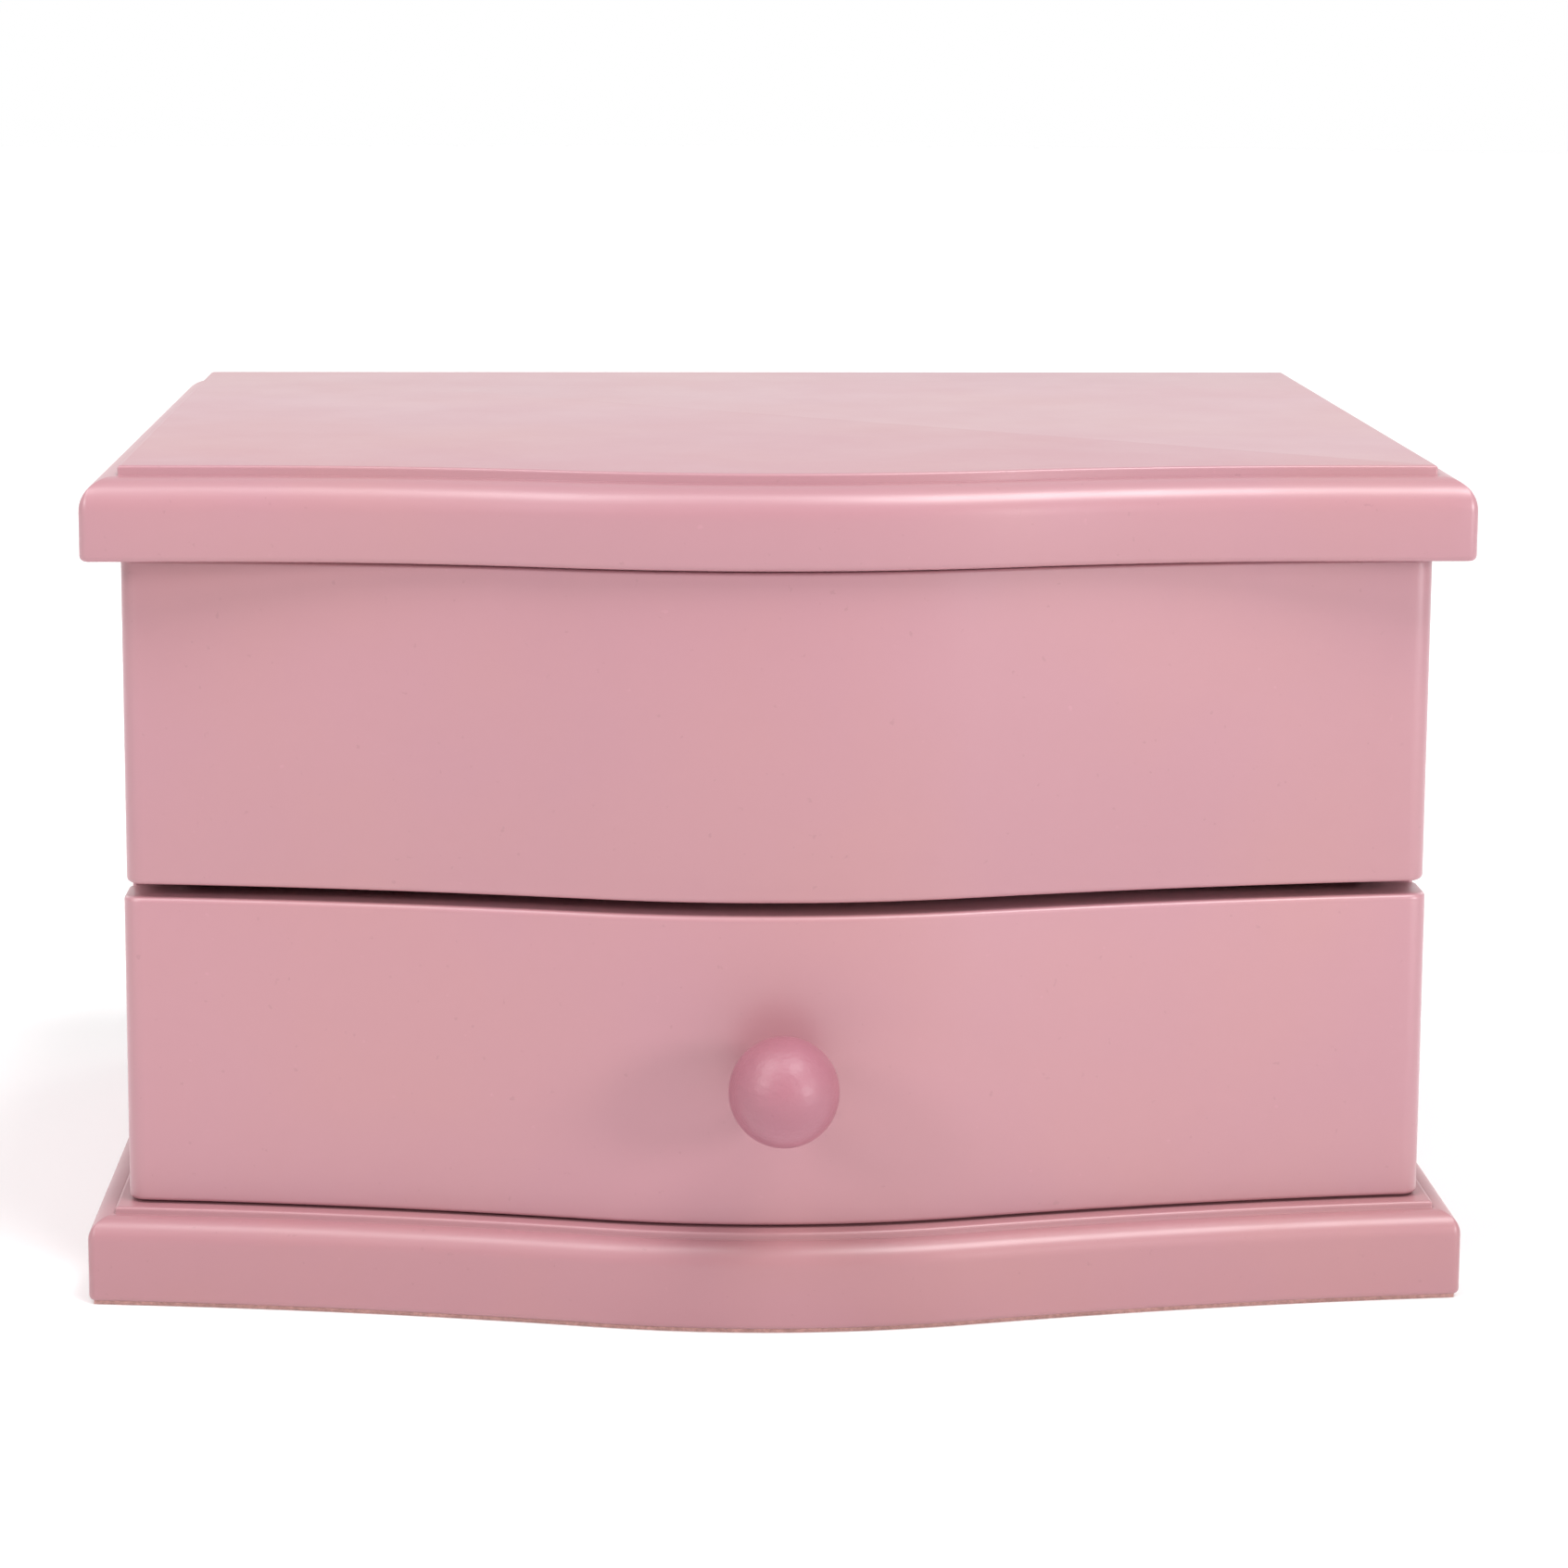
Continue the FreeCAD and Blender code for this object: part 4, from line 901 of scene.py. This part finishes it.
def lathe(rows, count=28):
    """Rings in metres from lathe rows."""
    return [ring((0, -forward * MM, height * MM), half_x * MM, half_y * MM, count)
            for height, half_x, half_y, forward in rows]


def make_skin():
    bm = bmesh.new()
    for side in (-1, 1):
        limb(bm, sided(LEG, side))
    loft(bm, lathe(TORSO))
    ball(bm, (0, -0.0002, HEAD), (0.00205, 0.00225, 0.00265), 28, 18)               # skull
    ball(bm, (0, -0.0010, HEAD - 0.0013), (0.00125, 0.00105, 0.00115), 20, 12)      # chin
    limb(bm, sided(NOSE), 12)
    for side in (-1, 1):
        ear = (side * 0.00205, 0.0001, HEAD - 0.0002)
        cheek = (side * 0.00085, -0.0014, HEAD - 0.00075)
        ball(bm, ear, (0.00022, 0.00040, 0.00055), 12, 8)
        ball(bm, cheek, (0.00065, 0.00062, 0.00065), 14, 10)
        limb(bm, sided(ARM, side), 16)
    figure_piece("ballerina_skin", bm, materials["doll_plastic"], "doll_plastic", 0.00017, 3)


def make_bodice():
    """The bodice with its curved neckline, turned in at the top, and a sash."""
    bm = bmesh.new()
    loops = lathe(BODICE, 40)
    for k, p in enumerate(loops[-1]):
        p.z += 0.0006 * abs(math.cos(2 * math.pi * k / 40)) - 0.0003
    inner = [Vector((p.x * 0.92, p.y * 0.9, p.z - 0.00005)) for p in loops[-1]]
    low = [Vector((p.x * 0.90, p.y * 0.88, p.z - 0.0008)) for p in loops[-1]]
    loft(bm, loops + [inner, low])
    figure_piece("ballerina_bodice", bm, bodice_satin, "tulle")
    belt = bmesh.new()
    loft(belt, lathe(SASH, 40))
    figure_piece("ballerina_sash", belt, shoe_satin, "tulle")


def ribbon(side, start, points=14):
    """A ribbon's spiral up one ankle, as limb stations."""
    coil = []
    for k in range(points + 1):
        t = k / points
        a = start + side * t * math.pi * 2.2
        radius = 0.00068 + 0.00036 * t
        coil.append((side * 0.00095 + radius * math.cos(a), 0.00015 * (1 + t) + radius * math.sin(a),
                     0.0041 + 0.0030 * t, 0.00010, 1.0))
    return coil


def make_shoes():
    bm = bmesh.new()
    for side in (-1, 1):
        limb(bm, sided(SHOE, side), 18)
    figure_piece("ballerina_shoes", bm, shoe_satin, "tulle", 0.00014, 1)
    bm = bmesh.new()
    for side in (-1, 1):
        for start in (0.0, math.pi):
            limb(bm, ribbon(side, start), 8)
    figure_piece("ballerina_ribbons", bm, shoe_satin, "tulle")


def make_hair():
    """A cap of combed strands, drawn back from the face, and a twisted bun."""
    bm = bmesh.new()
    loops = []
    rows, count = 16, 40
    centre = Vector((0, 0.00005, HEAD + 0.0001))
    for k in range(rows + 1):
        a = math.radians(2 + 118 * k / rows)
        loop = []
        for i in range(count):
            turn = 2 * math.pi * i / count
            front = max(0.0, -math.sin(turn))
            fall = a * (1 - 0.47 * front ** 1.5)
            strand = 1 + 0.018 * math.sin(turn * 13 + 1.2 * math.sin(a * 3))
            loop.append(centre + Vector((0.00222 * math.sin(fall) * math.cos(turn) * strand,
                                         0.00242 * math.sin(fall) * math.sin(turn) * strand,
                                         0.00278 * math.cos(fall) * strand)))
        loops.append(loop)
    inner = [centre + (p - centre) * 0.9 for p in loops[-1]]
    loft(bm, loops + [inner])
    figure_piece("ballerina_hair", bm, hair, "doll_plastic")
    bm = bmesh.new()
    bun = Vector((0, 0.0016, HEAD + 0.0021))
    loops = []
    for k in range(1, 12):
        a = math.pi * k / 12
        loop = []
        for i in range(36):
            turn = 2 * math.pi * i / 36
            swirl = 1 + 0.035 * math.sin(5 * turn + 7 * a)
            loop.append(bun + Vector((0.00118 * math.sin(a) * math.cos(turn) * swirl,
                                      0.00105 * math.sin(a) * math.sin(turn) * swirl,
                                      -0.00098 * math.cos(a))))
        loops.append(loop)
    loft(bm, loops)
    figure_piece("ballerina_bun", bm, hair, "doll_plastic")


def make_face():
    """Closed eyelids, brows and lips as thin painted lines."""
    lines = bmesh.new()
    for side in (-1, 1):
        lid_line, brow = [], []
        for k in range(7):
            t = k / 6
            x = side * (0.00038 + 0.00085 * t)
            depth = 0.00232 - 0.55 * (abs(x) / 0.0021) ** 2 * 0.0016
            lid_line.append((x, -depth, HEAD - 0.00005 - 0.00017 * math.sin(math.pi * t), 0.000055, 1.0))
            brow.append((x, -depth + 0.00012, HEAD + 0.00062 + 0.00018 * math.sin(math.pi * t), 0.00004, 1.0))
        limb(lines, lid_line, 8)
        limb(lines, brow, 8)
    figure_piece("ballerina_eyes", lines, eye_paint, "doll_plastic")
    lips = bmesh.new()
    for drop in (0.00145, 0.00162):
        limb(lips, [(-0.00036, -0.00196, HEAD - drop + 0.00003, 0.00004, 1.0),
                    (0, -0.00215, HEAD - drop, 0.00010, 0.8),
                    (0.00036, -0.00196, HEAD - drop + 0.00003, 0.00004, 1.0)], 8)
    figure_piece("ballerina_lips", lips, lip_paint, "doll_plastic")


def make_peg():
    bm = bmesh.new()
    loft(bm, lathe(PEG))
    figure_piece("ballerina_peg", bm, materials["doll_plastic"], "doll_plastic")


make_skin()
make_bodice()
make_shoes()
make_hair()
make_face()
make_peg()

# The tutu: circles of net with a hole for the hips, stacked and ruffled.
TUTU_HEM = 0.0088
TUTU_HOLE = 0.0021
TUTU_WAVES = 10
TUTU_RUFFLE = 0.00072
TUTU_LAYERS = 3
TUTU_LOW_EDGE = 0.0213
TUTU_DISH = 0.0009
TUTU_LAYER_GAP = 0.00048


def tutu_point(t, radius, layer):
    """A point of one layer at a share t round it and a radius."""
    a = 2 * math.pi * t
    out = (radius - TUTU_HOLE) / (TUTU_HEM - TUTU_HOLE)
    sway = 0.5 * math.sin(a * 3 + 0.7) + 0.35 * math.sin(a * 2 + 2.1) + 0.28 * layer
    wave = TUTU_RUFFLE * out ** 1.2 * math.sin(TUTU_WAVES * a + sway)
    uneven = 0.00016 * out * math.sin(a * 7 + layer * 1.9)
    place = radius - 0.00025 * layer * out + 0.00018 * out * math.sin(TUTU_WAVES * a * 2 + layer)
    height = TUTU_LOW_EDGE + TUTU_DISH * (1 - out) ** 2 + TUTU_LAYER_GAP * (layer - 1) + wave + uneven
    return Vector((place * math.cos(a), place * math.sin(a), height))


def make_tutu():
    around, rows = 260, 9
    for layer in range(TUTU_LAYERS):
        bm = bmesh.new()
        loops = []
        for k in range(rows + 1):
            radius = TUTU_HOLE + (TUTU_HEM - TUTU_HOLE) * k / rows
            loops.append([laid_forward(tutu_point(i / around, radius, layer)) for i in range(around)])
        loft(bm, loops, False, False)
        obj = piece("tutu_net_" + str(layer + 1), bm, "dancer", "tulle", 80, recalculate=False)
        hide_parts("tutu")


make_tutu()


SPRING_BEND = 0.0040
COIL_RADIUS = 0.00142
WIRE_RADIUS = 0.00022
COIL_TURNS = 9


def make_spring():
    """The coil between the spindle's flange and the dancer's peg, bent forward under the lid."""
    start = Vector((0, SPINDLE_Y, 0.1009))
    end = start + Vector((0, -SPRING_BEND, SPRING_BEND))
    bm = bmesh.new()
    loops = []
    steps = COIL_TURNS * 20
    for k in range(steps + 1):
        t = k / steps
        a = math.pi / 2 * t
        out = Vector((0, math.cos(a), math.sin(a)))
        along = Vector((0, -math.sin(a), math.cos(a)))
        middle = Vector((0, end.y, start.z)) + out * SPRING_BEND
        turn = 2 * math.pi * COIL_TURNS * t
        spoke = Vector((1, 0, 0)) * math.cos(turn) + out * math.sin(turn)
        at = middle + spoke * COIL_RADIUS
        loops.append([at + (spoke * math.cos(2 * math.pi * i / 8)
                            + along * math.sin(2 * math.pi * i / 8)) * WIRE_RADIUS for i in range(8)])
    loft(bm, loops)
    obj = piece("coil_spring", bm, None, "spring_steel", 80)
    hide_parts("ballerina_spring")
    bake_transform(obj)


make_spring()


# ---- CAD nodes that stay: soft edges and their own materials --------------------------------------
def soften(obj, width, segments=2, angle=30.0):
    """Rounds a CAD node's sharp edges with modifiers only."""
    weld = obj.modifiers.new("weld", "WELD")
    weld.merge_threshold = 0.000005
    bevel = obj.modifiers.new("bevel", "BEVEL")
    bevel.width = width
    bevel.segments = segments
    bevel.limit_method = "ANGLE"
    bevel.angle_limit = math.radians(angle)
    bevel.use_clamp_overlap = True
    bevel.harden_normals = True


SOFT_EDGES = {
    "side_wall_left": 0.0008, "side_wall_right": 0.0008, "back_wall": 0.0006,
    "divider_left": 0.0008, "divider_right": 0.0008, "ring_divider": 0.0008,
    "trinket_divider": 0.0008, "drawer_side_left": 0.0008, "drawer_side_right": 0.0008,
    "drawer_back": 0.0008, "mirror_frame": 0.0003, "winding_key": 0.00025, "drawer_stop": 0.0005,
}
for name, obj in nodes.items():
    dress(obj, materials[slot_of[name]])
for name in ("drawer_side_left", "drawer_side_right"):
    dress(nodes[name], side_board)
for name, width in SOFT_EDGES.items():
    soften(nodes[name], width)


# ---- camera, light, floor -----------------------------------------------------------------------
FLOOR_RADIUS = 4.0
CAMERA_PLACE = (-0.02525, -0.64469, 0.20262)
CAMERA_TURNS = (-0.024, 0.150, -0.003)          # yaw, pitch and roll in radians
CAMERA_LENS = 89.88
CAMERA_SHIFT = (0.05, -0.14)
WORLD_STRENGTH = 0.26
BOX_MIDDLE = (0, -0.05, 0.06)
BOX_BACK = (0, 0.05, 0.06)


def make_camera():
    data = bpy.data.cameras.new("camera")
    data.sensor_width = 36.0
    data.lens = CAMERA_LENS
    data.shift_x, data.shift_y = CAMERA_SHIFT
    yaw, pitch, roll = CAMERA_TURNS
    turn = Matrix.Rotation(yaw, 3, "Z")
    forward = turn @ Vector((0, math.cos(pitch), -math.sin(pitch)))
    right = turn @ Vector((1, 0, 0))
    down = turn @ Vector((0, -math.sin(pitch), -math.cos(pitch)))
    level, dip = right.copy(), down.copy()
    right = math.cos(roll) * level + math.sin(roll) * dip
    down = -math.sin(roll) * level + math.cos(roll) * dip
    basis = Matrix((right, -down, -forward)).transposed()
    obj = bpy.data.objects.new("camera", data)
    obj.matrix_world = Matrix.Translation(CAMERA_PLACE) @ basis.to_4x4()
    bpy.context.scene.collection.objects.link(obj)
    bpy.context.scene.camera = obj


def area_light(name, place, aim, size, power):
    data = bpy.data.lights.new(name, "AREA")
    data.shape = "RECTANGLE"
    data.size, data.size_y = size
    data.energy = power
    obj = bpy.data.objects.new(name, data)
    obj.location = place
    obj.rotation_mode = "QUATERNION"
    obj.rotation_quaternion = (Vector(aim) - Vector(place)).to_track_quat("-Z", "Y")
    bpy.context.scene.collection.objects.link(obj)


def sun_light(name, towards, strength, angle):
    """A soft light from far off, in the direction towards, that falls evenly on the floor."""
    data = bpy.data.lights.new(name, "SUN")
    data.energy = strength
    data.angle = math.radians(angle)
    obj = bpy.data.objects.new(name, data)
    obj.rotation_mode = "QUATERNION"
    obj.rotation_quaternion = Vector(towards).to_track_quat("Z", "Y")
    bpy.context.scene.collection.objects.link(obj)


def make_floor():
    """A wide white floor of rings round the box."""
    bm = bmesh.new()
    rings = 25
    loops = [circle(0.0, 0.0, 0.0, FLOOR_RADIUS * (k + 1) / rings, 64) for k in range(rings)]
    loft(bm, loops, cap_end=False)
    mesh = bpy.data.meshes.new("floor")
    bm.to_mesh(mesh)
    bm.free()
    obj = bpy.data.objects.new("floor", mesh)
    bpy.context.scene.collection.objects.link(obj)
    s = Shader("floor_paint", (0.95, 0.95, 0.95), 0.6)
    s.tint(s.between(s.noise(8, 3), 0.3, 0.7, 0.0, 0.2), (0.93, 0.93, 0.93))
    s.rough(s.noise(40, 3), 0.55, 0.65)
    dress(obj, s.made)


def make_world():
    """A white surround, dimmed where it only lights the scene."""
    world = bpy.data.worlds.new("world")
    world.use_nodes = True
    tree = world.node_tree
    dim = tree.nodes["Background"]
    dim.inputs["Color"].default_value = (1, 1, 1, 1)
    dim.inputs["Strength"].default_value = WORLD_STRENGTH
    plain = tree.nodes.new("ShaderNodeBackground")
    plain.inputs["Color"].default_value = (1, 1, 1, 1)
    ray = tree.nodes.new("ShaderNodeLightPath")
    either = tree.nodes.new("ShaderNodeMath")
    either.operation = "MAXIMUM"
    tree.links.new(ray.outputs["Is Camera Ray"], either.inputs[0])
    tree.links.new(ray.outputs["Is Glossy Ray"], either.inputs[1])
    mix = tree.nodes.new("ShaderNodeMixShader")
    tree.links.new(either.outputs["Value"], mix.inputs["Fac"])
    tree.links.new(dim.outputs["Background"], mix.inputs[1])
    tree.links.new(plain.outputs["Background"], mix.inputs[2])
    tree.links.new(mix.outputs["Shader"], tree.nodes["World Output"].inputs["Surface"])
    bpy.context.scene.world = world


make_camera()
make_floor()
make_world()
sun_light("sky_right", (0.42, -0.34, 1.0), 1.75, 24)
sun_light("sky_left", (-0.50, -0.30, 1.0), 1.25, 24)
area_light("overhead", (0.0, -0.26, 1.15), (0, -0.02, 0.1), (1.0, 0.22), 2.2)
area_light("left_box", (-1.15, -1.00, 0.80), BOX_MIDDLE, (0.4, 0.4), 8.5)
area_light("right_box", (1.15, -1.05, 0.42), BOX_MIDDLE, (0.35, 0.35), 11.5)
area_light("left_rear", (-1.2, 1.1, 0.8), BOX_BACK, (0.6, 0.6), 3.5)
area_light("right_rear", (1.2, 1.1, 0.8), BOX_BACK, (0.6, 0.6), 3.5)
bpy.context.scene.view_settings.view_transform = "Standard"
